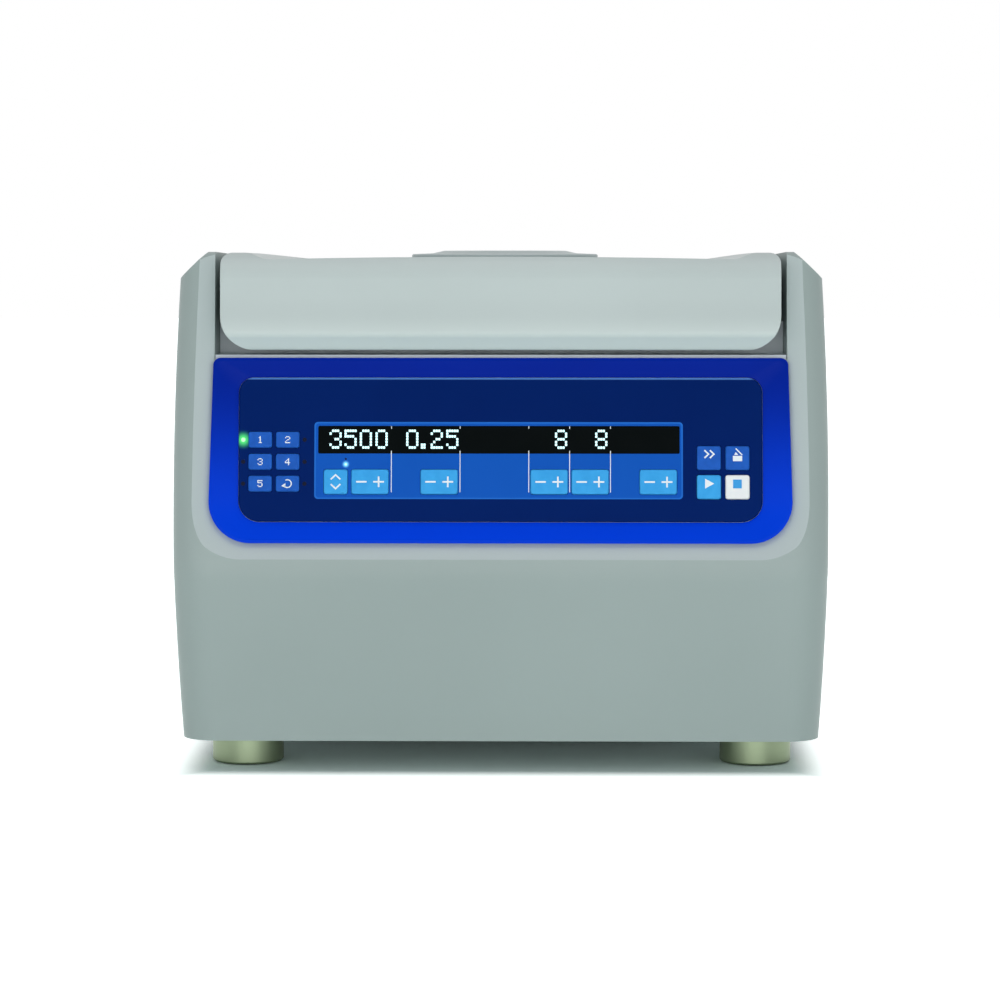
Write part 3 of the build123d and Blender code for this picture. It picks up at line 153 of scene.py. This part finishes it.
# %% Start a finish
class Finish(Graph):
    """One material: a Principled shader, and the nodes that feed it."""

    def __init__(self, name, **constants):
        self.material = bpy.data.materials.new(name)
        super().__init__(self.material)
        shader = self.node("ShaderNodeBsdfPrincipled")
        self.shader = shader.socket.node
        self.node("ShaderNodeOutputMaterial", None, {"Surface": shader})
        self.set(**constants)
        self.spot = None

    def set(self, **values):
        for name, value in values.items():
            self.plug(self.shader.inputs[name.replace("_", " ")], value)

    def place(self):
        """The point being shaded, in metres in the CAD model's frame."""
        if self.spot is None:
            self.spot = self.node("ShaderNodeTexCoord", output="Object")
        return self.spot

    def along(self, axis):
        return self.node("ShaderNodeSeparateXYZ", None, {"Vector": self.place()}, output=axis)

    def facing(self, axis):
        """How far the shaded face looks along x, y or z."""
        normal = self.node("ShaderNodeNewGeometry", output="Normal")
        return self.node("ShaderNodeSeparateXYZ", None, {"Vector": normal}, output=axis)

    def stretched(self, x, y, z):
        """The shaded point with each direction scaled, for grain that runs one way."""
        return self.node("ShaderNodeVectorMath", {"operation": "MULTIPLY"}, {0: self.place(), 1: (x, y, z)})

    def noise(self, per_metre, detail=2.0, roughness=0.5, at=None):
        inputs = {"Vector": at or self.place(), "Scale": per_metre, "Detail": detail, "Roughness": roughness}
        return self.node("ShaderNodeTexNoise", None, inputs)

    def blend(self, share, first, second):
        return self.node("ShaderNodeMix", {"data_type": "RGBA"}, {0: share, 6: first, 7: second}, output=2)

    def bump(self, height, depth, strength=1.0):
        inputs = {"Height": height, "Distance": depth, "Strength": strength}
        self.set(Normal=self.node("ShaderNodeBump", None, inputs))

    def distance(self, spot):
        """How far the shaded point is from a fixed one, in metres."""
        return self.node("ShaderNodeVectorMath", {"operation": "DISTANCE"}, {0: self.place(), 1: tuple(spot)},
                         output="Value")

    def dress(self, *names):
        """Puts this finish on CAD nodes, whose shapes stay as they are."""
        for name in names:
            node = nodes[name]
            node.data.materials.clear()
            node.data.materials.append(self.material)


def srgb(red, green, blue):
    """A colour as a picture shows it, 0 to 255, turned into the light that it stands for."""
    shares = [value / 255 for value in (red, green, blue)]
    return tuple(s / 12.92 if s <= 0.04045 else ((s + 0.055) / 1.055) ** 2.4 for s in shares)


print("mid grey is", [round(value, 3) for value in srgb(128, 128, 128)])

# %% [markdown]
# ## The studio
#
# The photograph was lit with large soft boxes and cut out on white. Big area lamps give the same wide,
# soft highlights. The floor and the world look white only to the camera and in reflections, so the white
# doesn't pour more light on the machine, and the floor still takes its shadow.

# %% Lamps
def softbox(name, place, target, width, height, power):
    """A rectangular lamp, width by height metres, that faces a target."""
    data = bpy.data.lights.new(name, "AREA")
    data.shape = "RECTANGLE"
    data.size, data.size_y = width, height
    data.energy = power
    lamp = bpy.data.objects.new(name, data)
    lamp.location = place
    lamp.rotation_euler = (Vector(target) - Vector(place)).to_track_quat("-Z", "Y").to_euler()
    bpy.context.scene.collection.objects.link(lamp)


softbox("overhead_box", (0, -0.9, 2.3), (0, -0.1, 0.2), 2.6, 1.6, 7.8)
softbox("front_box", (0, -2.9, 0.3), (0, -0.3, 0.25), 3.0, 0.54, 16.4)
softbox("low_box", (0, -1.7, 0.1), (0, -0.3, 0.25), 1.8, 0.2, 2.1)
softbox("left_box", (-2.0, -1.9, 1.1), (0, -0.2, 0.2), 1.2, 1.4, 3)
softbox("right_box", (2.0, -1.9, 1.1), (0, -0.2, 0.2), 1.2, 1.4, 3)

# %% World
DAYLIGHT = 0.45              # strength of the even light from all round
world = bpy.data.worlds.new("studio")
bpy.context.scene.world = world
sky = Graph(world)
backdrop = sky.node("ShaderNodeBackground", None, {"Color": (1, 1, 1)})
daylight = sky.node("ShaderNodeBackground", None, {"Color": (0.97, 0.98, 1.0), "Strength": DAYLIGHT})
watched = sky.rays("Camera", "Glossy", "Transmission")
seen = sky.node("ShaderNodeMixShader", None, {0: watched, 1: daylight, 2: backdrop})
sky.node("ShaderNodeOutputWorld", None, {"Surface": seen})
print("the world lights the machine at", DAYLIGHT, "and looks white")

# %% Floor
SHADOW_HALF = 0.205          # metres: the machine's own ground, which the floor's white leaves out
SHADOW_FRONT = -0.288
SHADOW_REAR = 0.29
SHADOW_EDGE = (-0.012, 0.03)  # the white fades in from the first distance outside that ground to the second
FLOOR_RADIUS = 12

floor_finish = Finish("floor", Base_Color=(0.82, 0.96, 0.92), Roughness=0.9, Specular_IOR_Level=0.0,
                      Emission_Strength=1.0)
beside = floor_finish.along("X").size() - SHADOW_HALF
before = SHADOW_FRONT - floor_finish.along("Y")
behind = floor_finish.along("Y") - SHADOW_REAR
outside = beside.math("MAXIMUM", beside, before.math("MAXIMUM", before, behind))
lit = outside.steps(*SHADOW_EDGE) * floor_finish.rays("Camera", "Glossy", "Transmission")
floor_finish.set(Emission_Color=floor_finish.blend(lit, (0, 0, 0), (1, 1, 1)))
mesh = bmesh.new()
bmesh.ops.create_circle(mesh, cap_ends=True, radius=FLOOR_RADIUS, segments=96)
floor_mesh = bpy.data.meshes.new("floor")
mesh.to_mesh(floor_mesh)
mesh.free()
floor_mesh.materials.append(floor_finish.material)
floor = bpy.data.objects.new("floor", floor_mesh)
bpy.context.scene.collection.objects.link(floor)

# %% [markdown]
# ## The grey skin
#
# The casing, the lid and the deck are one moulded plastic, painted a pale grey green. Such a skin is
# satin: its highlights are wide and soft, and a fine orange peel breaks them up. A noise a few
# centimetres across gives the slow change in tone that paint has, and a much finer one gives the peel.
# An image would show its pixels up close, and noise never does. Two places catch more light, and the
# finish adds a painted highlight there, a lighter colour: the lid's rolled nose, told by its height, and
# the bevel round the panel, told by where its faces look, which is in from the sides or up from the bottom.

# %% Casing, lid and trim
def painted_skin(name, light, dark, roughness, *pieces):
    skin = Finish(name, Specular_IOR_Level=0.35, IOR=1.46)
    tone = skin.noise(5.0, detail=3).steps(0.3, 0.7)
    peel = skin.noise(700, detail=3)
    cloud = skin.noise(45, detail=2)
    skin.paint = skin.blend(tone, dark, light)
    skin.set(Base_Color=skin.paint, Roughness=roughness - 0.04 + 0.08 * cloud)
    skin.bump(peel, 0.00005, 0.5)
    skin.dress(*pieces)
    return skin


NOSE_HIGHLIGHT_FADE = (0.308, 0.284)   # metres above the bench, from the lid's own paint to a lighter colour, a painted highlight on the nose
LOW_BEVEL_TOP = 0.19


def between(value, rise, fall):
    """1 where the value lies between two soft limits, each given as the start and end of a ramp."""
    return value.steps(*rise) * (1.0 - value.steps(*fall))


def bevel_share(skin):
    """1 on the bevel round the panel, which gets a painted highlight, and 0 elsewhere."""
    inward = 0.0 - skin.facing("X") * skin.along("X").math("SIGN", skin.along("X"))
    side = between(inward, (0.12, 0.24), (0.55, 0.7)) * skin.along("Y").below(0.0)
    low = between(skin.facing("Z"), (0.25, 0.4), (0.75, 0.85)) * skin.along("Z").below(LOW_BEVEL_TOP)
    return side.math("MAXIMUM", side, low)


casing = painted_skin("casing_grey", srgb(163, 176, 174), srgb(159, 172, 170), 0.42, "housing_shell")
# the bevel gets a lighter colour: a painted highlight for the light its faces catch
casing.set(Base_Color=casing.blend(bevel_share(casing), casing.paint, srgb(186, 197, 197)))
lid = painted_skin("lid_grey", srgb(197, 207, 206), srgb(193, 203, 202), 0.4, "lid_shell")
# the lid's rolled nose gets a lighter colour: a painted highlight
lid.set(Base_Color=lid.blend(lid.along("Z").steps(*NOSE_HIGHLIGHT_FADE), lid.paint, srgb(216, 226, 224)))
painted_skin("deck_slate", srgb(204, 212, 217), srgb(200, 208, 213), 0.45, "deck")
painted_skin("lid_trim", srgb(178, 192, 192), srgb(174, 188, 188), 0.38, "viewport_bezel", "lid_liner")

# %% [markdown]
# ## The blue front
#
# A glossy blue bezel dishes down to a film keypad. The film is printed from behind: deep navy all over,
# with a brighter field round the display. The field is a mask in the finish, worked out as the distance
# to a rounded rectangle, so its edge stays sharp at any distance.

# %% Where things lie on the leaning front
LEAN = math.radians(8)
PLANE_Y = -322.0355          # millimetres, where the front plane would meet the bench
RIGHT = Vector((1, 0, 0))
UP = Vector((0, math.sin(LEAN), math.cos(LEAN)))
OUT = Vector((0, -math.cos(LEAN), math.sin(LEAN)))
FACE_SLACK = 0.0002          # metres: points this near the foremost one belong to the same face


def on_front(x, z, depth=0.0):
    """A point in metres from millimetres: x and z on the front plane, then depth straight in."""
    return Vector((x, PLANE_Y + z * math.tan(LEAN), z)) / 1000 - OUT * depth / 1000


def face_depth(name):
    """How far in millimetres the foremost point of a CAD node lies behind the front plane."""
    start = on_front(0, 0)
    return min(-(vertex.co - start).dot(OUT) for vertex in nodes[name].data.vertices) * 1000


def front_place(name):
    """The x and z on the front plane, in millimetres, of the middle of a node's foremost face."""
    start = on_front(0, 0)
    points = [vertex.co - start for vertex in nodes[name].data.vertices]
    foremost = max(point.dot(OUT) for point in points)
    face = [point for point in points if point.dot(OUT) > foremost - FACE_SLACK]
    x_places = [point.x for point in face]
    heights = [point.dot(UP) for point in face]
    middle_x = (min(x_places) + max(x_places)) / 2
    middle_height = (min(heights) + max(heights)) / 2
    return round(middle_x * 1000, 2), round(middle_height * 1000 * math.cos(LEAN), 2)


film_depth = face_depth("keypad_plate")
pane_depth = face_depth("display_window")
key_depth = face_depth("start_key")
print("film, display and keys lie", round(film_depth, 2), round(pane_depth, 2), round(key_depth, 2), "mm in")
pane_x, pane_z = front_place("display_window")
print("the display's middle is at", pane_x, pane_z)

# %% The bezel and the film
# places of the two lit lights: x and z on the front, in millimetres
LIT_LIGHTS = {"program": (-171.5, 224.7), "mode": (-103.0, 208.5)}
# the rest in metres: how far from its light each glow starts and stops fading
GLOW = {"program": (0.0006, 0.0078), "mode": (0.0004, 0.0034)}
FIELD_MIDDLE = (-0.0012, 0.2106)     # the bright field round the display
FIELD_HALF = (0.1228, 0.0255)
FIELD_CORNER = 0.0025
HEART_HALF = (0.1218, 0.0245)        # the same field inside its brighter rim
HEART_CORNER = 0.0020
FILM_EDGE_HIGHLIGHT = (0.2638, 0.2649)         # the film's upper edge, where a painted highlight stands for the light it catches


def bezel_gloss():
    gloss = Finish("bezel_blue", Specular_IOR_Level=0.035, IOR=1.46)
    height = gloss.along("Z")
    tone = gloss.noise(14, detail=2)
    deep, bright = srgb(0, 34, 150), srgb(0, 64, 226)
    # darker towards the top and brighter towards the bottom: painted shade under the lid's nose
    share = height.steps(0.27, 0.17) * 0.9 + 0.1 * tone
    gloss.set(Base_Color=gloss.blend(share, deep, bright), Roughness=0.27 + 0.06 * gloss.noise(60))
    gloss.bump(gloss.noise(500), 0.00002, 0.4)
    gloss.dress("panel_bezel")


def inside_rounded(finish, middle, half, corner, soft=0.0001):
    """1 inside a rounded rectangle on the front, 0 outside it, all in metres."""
    across = (finish.along("X") - middle[0]).size() - (half[0] - corner)
    upright = (finish.along("Z") - middle[1]).size() - (half[1] - corner)
    across = across.math("MAXIMUM", across, 0.0)
    upright = upright.math("MAXIMUM", upright, 0.0)
    reach = across.math("SQRT", across * across + upright * upright)
    return 1.0 - (reach - corner).steps(-soft, soft)


def keypad_film():
    film = Finish("keypad_navy", Specular_IOR_Level=0.02, Emission_Strength=1.0)
    field = inside_rounded(film, FIELD_MIDDLE, FIELD_HALF, FIELD_CORNER)
    heart = inside_rounded(film, FIELD_MIDDLE, HEART_HALF, HEART_CORNER)
    tone = film.noise(20, detail=2)
    navy = film.blend(tone, srgb(0, 30, 96), srgb(2, 36, 106))
    edge_highlight = film.along("Z").steps(*FILM_EDGE_HIGHLIGHT)
    # a painted highlight: light blue along the film's upper edge
    navy = film.blend(edge_highlight * 0.8, navy, srgb(96, 150, 228))
    bright = film.blend(tone, srgb(20, 88, 190), srgb(24, 94, 198))
    colour = film.blend(field, navy, film.blend(heart, srgb(38, 112, 212), bright))
    green = 1.0 - film.distance(on_front(*LIT_LIGHTS["program"], film_depth)).steps(*GLOW["program"])
    cyan = 1.0 - film.distance(on_front(*LIT_LIGHTS["mode"], film_depth)).steps(*GLOW["mode"])
    glow = film.blend(green * green, (0, 0, 0), (0.12, 1.0, 0.14))
    glow = film.blend(cyan * cyan, glow, (0.30, 0.90, 1.0))
    film.set(Base_Color=colour, Emission_Color=glow, Roughness=0.32 + 0.08 * film.noise(90))
    film.bump(film.noise(1500), 0.00001, 0.4)
    film.dress("keypad_plate")


bezel_gloss()
keypad_film()

# %% Keys and display
def key_film(name, light, dark, *pieces):
    film = Finish(name, Specular_IOR_Level=0.1)
    tone = film.noise(160, detail=2).steps(0.3, 0.7)
    film.set(Base_Color=film.blend(tone, dark, light), Roughness=0.38 + 0.08 * film.noise(300))
    film.bump(film.noise(1800), 0.00001, 0.5)
    film.dress(*pieces)


PROGRAM_KEYS = [f"program_key_{number}" for number in range(1, 6)]
ROCKERS = ["speed_keys", "time_keys", "acceleration_keys", "deceleration_keys", "bucket_type_keys"]
key_film("key_dark_blue", srgb(30, 98, 200), srgb(26, 90, 188), *PROGRAM_KEYS, "direction_key", "pulse_key",
         "open_key")
key_film("key_light_blue", srgb(64, 174, 244), srgb(58, 166, 238), "mode_key", "start_key", *ROCKERS)
key_film("key_white", srgb(250, 250, 250), srgb(244, 246, 248), "stop_key")

display_black = Finish("display_black", Specular_IOR_Level=0.02)
smoke = display_black.noise(60, detail=2)
smoked = display_black.blend(smoke, srgb(6, 11, 12), srgb(10, 15, 16))
display_black.set(Base_Color=smoked, Roughness=0.12 + 0.05 * smoke)
display_black.dress("display_window")

# %% [markdown]
# ## Lights behind the film
#
# One CAD node holds all eight light pins. Only two are lit, so the finish asks how far the shaded point
# is from each lit pin and glows there. The others stay dark lenses.

# %% Status lights
PIN_REACH = {"program": 0.0035, "mode": 0.0018}   # metres


def light_pins():
    pins = Finish("light_pipe", Roughness=0.2, Specular_IOR_Level=0.1, Emission_Strength=1.5)
    near = {name: pins.distance(on_front(*place, film_depth)).below(PIN_REACH[name])
            for name, place in LIT_LIGHTS.items()}
    haze = pins.noise(900, detail=2)
    dark = pins.blend(haze, srgb(4, 12, 40), srgb(8, 18, 48))
    glow = pins.blend(near["program"], (0, 0, 0), (0.42, 0.95, 0.44))
    glow = pins.blend(near["mode"], glow, (0.55, 1.0, 0.98))
    pins.set(Base_Color=dark, Emission_Color=glow)
    pins.dress("status_lights")


light_pins()

# %% [markdown]
# ## Metal
#
# The feet are turned, so their marks run round; the bowl and the arms are brushed, so theirs run one way.
# Both are the same trick: noise squeezed hard in one direction. It moves the roughness a little as well
# as the bump, because a scratch changes how a spot shines more than it changes its height.

# %% Turned, brushed and plated metal
def metal(name, light, dark, roughness, grain, *pieces, depth=0.00002):
    """grain is how many marks there are per metre along x, y and z."""
    made = Finish(name, Metallic=1.0)
    marks = made.noise(1.0, detail=3, at=made.stretched(*grain))
    cloud = made.noise(12, detail=2)
    shine = roughness - 0.08 + 0.1 * marks + 0.06 * cloud
    made.set(Base_Color=made.blend(cloud, dark, light), Roughness=shine)
    made.bump(marks, depth, 0.6)
    made.dress(*pieces)


metal("foot_metal", srgb(140, 152, 126), srgb(130, 142, 116), 0.45, (25, 25, 1600), "feet")
metal("stainless", srgb(212, 214, 216), srgb(198, 200, 203), 0.3, (30, 30, 1500), "chamber_bowl",
      "drive_shaft", "hinge_arms", "lock_bar", "lock_strikers", "housing_screws", "lid_screws")
metal("rod_chrome", srgb(226, 227, 230), srgb(216, 217, 221), 0.12, (900, 900, 20), "gas_spring_rod",
      depth=0.000004)
metal("rotor_alloy", srgb(128, 131, 136), srgb(116, 119, 125), 0.4, (40, 40, 900), "rotor_cross")
metal("bucket_alloy", srgb(196, 199, 203), srgb(184, 187, 192), 0.36, (40, 40, 1200), "bucket_1", "bucket_2",
      "bucket_3", "bucket_4")


def zinc_plate():
    zinc = Finish("plated_steel", Metallic=0.9)
    cells = {"Vector": zinc.place(), "Scale": 90.0}
    flakes = zinc.node("ShaderNodeTexVoronoi", None, cells, output="Distance")
    dull = zinc.noise(25, detail=3)
    tone = zinc.blend(flakes, srgb(172, 175, 176), srgb(192, 195, 196))
    zinc.set(Base_Color=tone, Roughness=0.34 + 0.16 * dull)
    zinc.bump(flakes, 0.00003, 0.3)
    zinc.dress("base_plate", "rear_panel", "motor_bracket", "lock_housings", "hinge_brackets", "guard_ring")


zinc_plate()

# %% [markdown]
# ## Rubber, black paint and moulded black
#
# Black things differ by their shine, not their colour. Rubber is dull and a little dusty, paint on steel
# is satin with an orange peel, and a moulded inlet has a fine spark-eroded grain.

# %% Dark finishes
def dark_finish(name, light, dark, roughness, grain, depth, *pieces):
    made = Finish(name, Specular_IOR_Level=0.4)
    dust = made.noise(35, detail=4).steps(0.35, 0.75)
    made.set(Base_Color=made.blend(dust, dark, light), Roughness=roughness + 0.08 * dust)
    made.bump(made.noise(grain, detail=3), depth, 0.6)
    made.dress(*pieces)


dark_finish("rubber_black", srgb(44, 44, 45), srgb(34, 34, 35), 0.72, 1400, 0.00006,
            "foot_pads", "lid_seal", "motor_boot", "motor_dampers")
dark_finish("black_paint", srgb(42, 43, 45), srgb(34, 35, 37), 0.34, 500, 0.00003,
            "gas_spring_cylinder", "motor_housing")
dark_finish("black_plastic", srgb(40, 41, 43), srgb(33, 34, 36), 0.46, 2200, 0.00004,
            "power_inlet", "switch_frame", "power_rocker")
dark_finish("button_red", srgb(190, 50, 42), srgb(176, 42, 36), 0.38, 1500, 0.00003, "rotor_button")

# %% Clear pane and circuit boards
clear_pane = Finish("clear_pane", Transmission_Weight=1.0, IOR=1.49)
smear = clear_pane.noise(18, detail=3)
tint = clear_pane.blend(smear, srgb(232, 240, 242), srgb(238, 245, 246))
clear_pane.set(Base_Color=tint, Roughness=0.02 + 0.05 * smear)
clear_pane.dress("viewport_window")


def circuit_board():
    board = Finish("circuit_green", Roughness=0.35)
    tracks = board.node("ShaderNodeTexBrick", {"offset": 0.5}, {
        "Vector": board.place(), "Scale": 90.0, "Color1": srgb(20, 84, 44), "Color2": srgb(24, 92, 50),
        "Mortar": srgb(60, 130, 74), "Mortar Size": 0.06}, output="Color")
    mask = board.noise(70, detail=2)
    board.set(Base_Color=board.blend(mask * 0.4, tracks, srgb(14, 60, 34)), Roughness=0.3 + 0.15 * mask)
    board.bump(board.noise(600), 0.00003, 0.5)
    board.dress("control_board", "power_board")


circuit_board()

# %% [markdown]
# ## Ink
#
# Icons, figures and hairlines are printed in a bright ink. Each is a flat outline, a few hundredths of a
# millimetre thick, so that it has a real edge. An outline that follows a bent line is worked out by
# moving the line half its width to each side and mitring the corners.

# %% Outlines
MITRE_LIMIT = 0.3            # the least cosine of half a bend that a mitre reaches out for


def line(points, width):
    """The outline of a bent line, mitred at its corners."""
    sides = ([], [])
    for index, (x, y) in enumerate(points):
        before = points[max(index - 1, 0)]
        after = points[min(index + 1, len(points) - 1)]
        onward = Vector((after[0] - x, after[1] - y))
        first = Vector((x - before[0], y - before[1])) if index else onward.copy()
        second = onward if index < len(points) - 1 else first
        first.normalize()
        second.normalize()
        normal = Vector((-first.y - second.y, first.x + second.x)).normalized()
        reach = width / 2 / max(normal.dot(Vector((-first.y, first.x))), MITRE_LIMIT)
        for side, sign in zip(sides, (1, -1)):
            side.append((x + sign * reach * normal.x, y + sign * reach * normal.y))
    return sides[0] + sides[1][::-1]


def patch(width, height, corner=0.3, x=0.0, y=0.0, steps=4):
    """A rectangle with rounded corners."""
    outline = []
    for quarter, (right, top) in enumerate(((1, 1), (-1, 1), (-1, -1), (1, -1))):
        for step in range(steps + 1):
            angle = math.radians(90 * (quarter + step / steps))
            outline.append((x + right * (width / 2 - corner) + corner * math.cos(angle),
                            y + top * (height / 2 - corner) + corner * math.sin(angle)))
    return outline


# %% Print on the front
INK_SUNK = 0.02              # millimetres of the ink that sit in the surface
INK_THICK = 0.07


def print_on_front(name, groups, body, ink, slot):
    """groups holds (x, z, depth, outlines) in millimetres: outlines lie round that point of the front."""
    mesh = bmesh.new()
    for x, z, depth, outlines in groups:
        base = on_front(x, z, depth + INK_SUNK)
        for outline in outlines:
            corners = [mesh.verts.new(base + RIGHT * u / 1000 + UP * v / 1000) for u, v in outline]
            face = mesh.faces.new(corners)
            raised = bmesh.ops.extrude_face_region(mesh, geom=[face])
            tips = [part for part in raised["geom"] if isinstance(part, bmesh.types.BMVert)]
            bmesh.ops.translate(mesh, vec=OUT * INK_THICK / 1000, verts=tips)
    bmesh.ops.recalc_face_normals(mesh, faces=mesh.faces[:])
    data = bpy.data.meshes.new(name)
    mesh.to_mesh(data)
    mesh.free()
    data.materials.append(ink.material)
    piece = bpy.data.objects.new(name, data)
    bpy.context.scene.collection.objects.link(piece)
    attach(piece, body)
    print(name, "has", len(data.polygons), "faces")


def ink_finish(name, colour, shade):
    ink = Finish(name, Specular_IOR_Level=0.2)
    grain = ink.noise(800, detail=2)
    ink.set(Base_Color=ink.blend(grain, shade, colour), Roughness=0.4 + 0.1 * grain)
    ink.bump(ink.noise(2500), 0.000004, 0.5)
    return ink


white_ink = ink_finish("white_ink", srgb(250, 252, 255), srgb(238, 244, 250))
blue_ink = ink_finish("blue_ink", srgb(64, 168, 238), srgb(54, 156, 228))

# %% Minus and plus, arrows and symbols
PLUS_X = 5.8                 # millimetres from the key's middle
MINUS_PLUS = [patch(7.0, 1.1, 0.25, x=-5.7), patch(7.2, 1.1, 0.25, x=PLUS_X),
              patch(1.1, 3.1, 0.25, x=PLUS_X, y=2.05), patch(1.1, 3.1, 0.25, x=PLUS_X, y=-2.05)]
MARKS = {name: MINUS_PLUS for name in ROCKERS}
MARKS["mode_key"] = [line([(-3.2, side * 1.6), (0, side * 4.6), (3.2, side * 1.6)], 1.0) for side in (1, -1)]
MARKS["pulse_key"] = [line([(x - 1.4, 5.2), (x + 1.3, 2.6), (x - 1.4, 0.0)], 1.0) for x in (-1.6, 2.0)]
MARKS["start_key"] = [[(-2.6, 5.6), (3.5, 2.3), (-2.6, -1.0)]]
MARKS["open_key"] = [patch(6.2, 3.6, 0.3, y=-0.3), line([(-1.2, 6.4), (3.1, 2.0)], 0.8),
                     [(-2.2, 2.1), (-1.2, 4.0), (0.6, 2.1)]]
STOP_MARK = [patch(5.8, 5.9, 0.25, x=-0.1, y=2.1)]

# %% [markdown]
# Figures on the program keys and in the display come from the same small table of dots, five across and
# seven down, because that is how the display on the real machine draws them. On the keys the dots are
# small and touch, so they read as plain printed figures.

# %% Figures
DOTS = {
    "0": "01110 10001 10001 10001 10001 10001 01110",
    "1": "00100 01100 00100 00100 00100 00100 01110",
    "2": "01110 10001 00001 00110 01000 10000 11111",
    "3": "01110 10001 00001 00110 00001 10001 01110",
    "4": "00010 00110 01010 10010 11111 00010 00010",
    "5": "11111 10000 11110 00001 00001 10001 01110",
    "8": "01110 10001 10001 01110 10001 10001 01110",
    ".": "00000 00000 00000 00000 00000 01100 01100",
}


def figure(sign, width, height, fill):
    """The dots of one figure, as small rounded squares that fill a share of the pitch between them."""
    step_x, step_z = width / 5, height / 7
    dots = []
    for row, bits in enumerate(DOTS[sign].split()):
        for column, bit in enumerate(bits):
            if bit == "1":
                x, y = (column - 2) * step_x, (3 - row) * step_z
                dots.append(patch(step_x * fill, step_z * fill, step_x * 0.12, x=x, y=y, steps=1))
    return dots


KEY_FIGURE = (3.4, 4.6, 0.999)      # width and height in millimetres, and how much of the pitch a dot fills
DISPLAY_FIGURE = (8.3, 13.0, 0.88)
TURN_RADIUS = 2.6                   # millimetres, of the arrow on the direction key

for number in range(1, 6):
    MARKS[f"program_key_{number}"] = figure(str(number), *KEY_FIGURE)
turn_angles = [math.radians(angle) for angle in range(120, -151, -15)]
turn = [(TURN_RADIUS * math.cos(angle), TURN_RADIUS * math.sin(angle)) for angle in turn_angles]
tip_x, tip_z = turn[-1]
arrow_head = [(tip_x - 1.9, tip_z - 0.2), (tip_x + 0.9, tip_z + 1.6), (tip_x + 0.9, tip_z - 1.4)]
MARKS["direction_key"] = [line(turn, 0.7), arrow_head]

LIGHT_KEYS = [*ROCKERS, "mode_key", "start_key"]
for name, outlines in MARKS.items():
    print_on_front(f"{name}_mark", [(*front_place(name), key_depth, outlines)], name, white_ink,
                   "key_light_blue" if name in LIGHT_KEYS else "key_dark_blue")
print_on_front("stop_key_mark", [(*front_place("stop_key"), key_depth, STOP_MARK)], "stop_key", blue_ink,
               "key_white")

# %% The lit display
lit_dots = Finish("lit_dots", Roughness=0.4, Specular_IOR_Level=0.2, Emission_Strength=0.9)
shimmer = lit_dots.noise(700, detail=2)
lit_dots.set(Base_Color=lit_dots.blend(shimmer, srgb(190, 220, 222), srgb(205, 235, 236)),
             Emission_Color=lit_dots.blend(shimmer, srgb(186, 230, 236), srgb(206, 248, 252)))
FIGURE_Z = 225.2             # millimetres: the middle of the figures
SHOWN = (("3", -109.9), ("5", -99.9), ("0", -89.7), ("0", -79.2), ("0", -58.7), (".", -50.6), ("2", -42.4),
         ("5", -32.0), ("8", 40.5), ("8", 67.3))
reading = [(x, FIGURE_Z, pane_depth, figure(sign, *DISPLAY_FIGURE)) for sign, x in SHOWN]
print_on_front("display_figures", reading, "housing", lit_dots, "display_black")

# %% Hairlines on the film
COLUMNS = (-72.6, -26.8, 19.0, 46.2, 73.4)   # millimetres: the hairlines' places along x
HAIR_WIDTH, HAIR_CORNER = 0.5, 0.1
LONG_Z, LONG_HEIGHT = 203.8, 27.8            # the hairlines between the rocker keys
TICK_Z, TICK_HEIGHT = 233.0, 1.8             # their ticks at the top of the display
hairlines = [(x, LONG_Z, film_depth, [patch(HAIR_WIDTH, LONG_HEIGHT, HAIR_CORNER)]) for x in COLUMNS]
hairlines += [(x, TICK_Z, pane_depth, [patch(HAIR_WIDTH, TICK_HEIGHT, HAIR_CORNER)]) for x in COLUMNS]
print_on_front("keypad_hairlines", hairlines, "housing", white_ink, "keypad_navy")
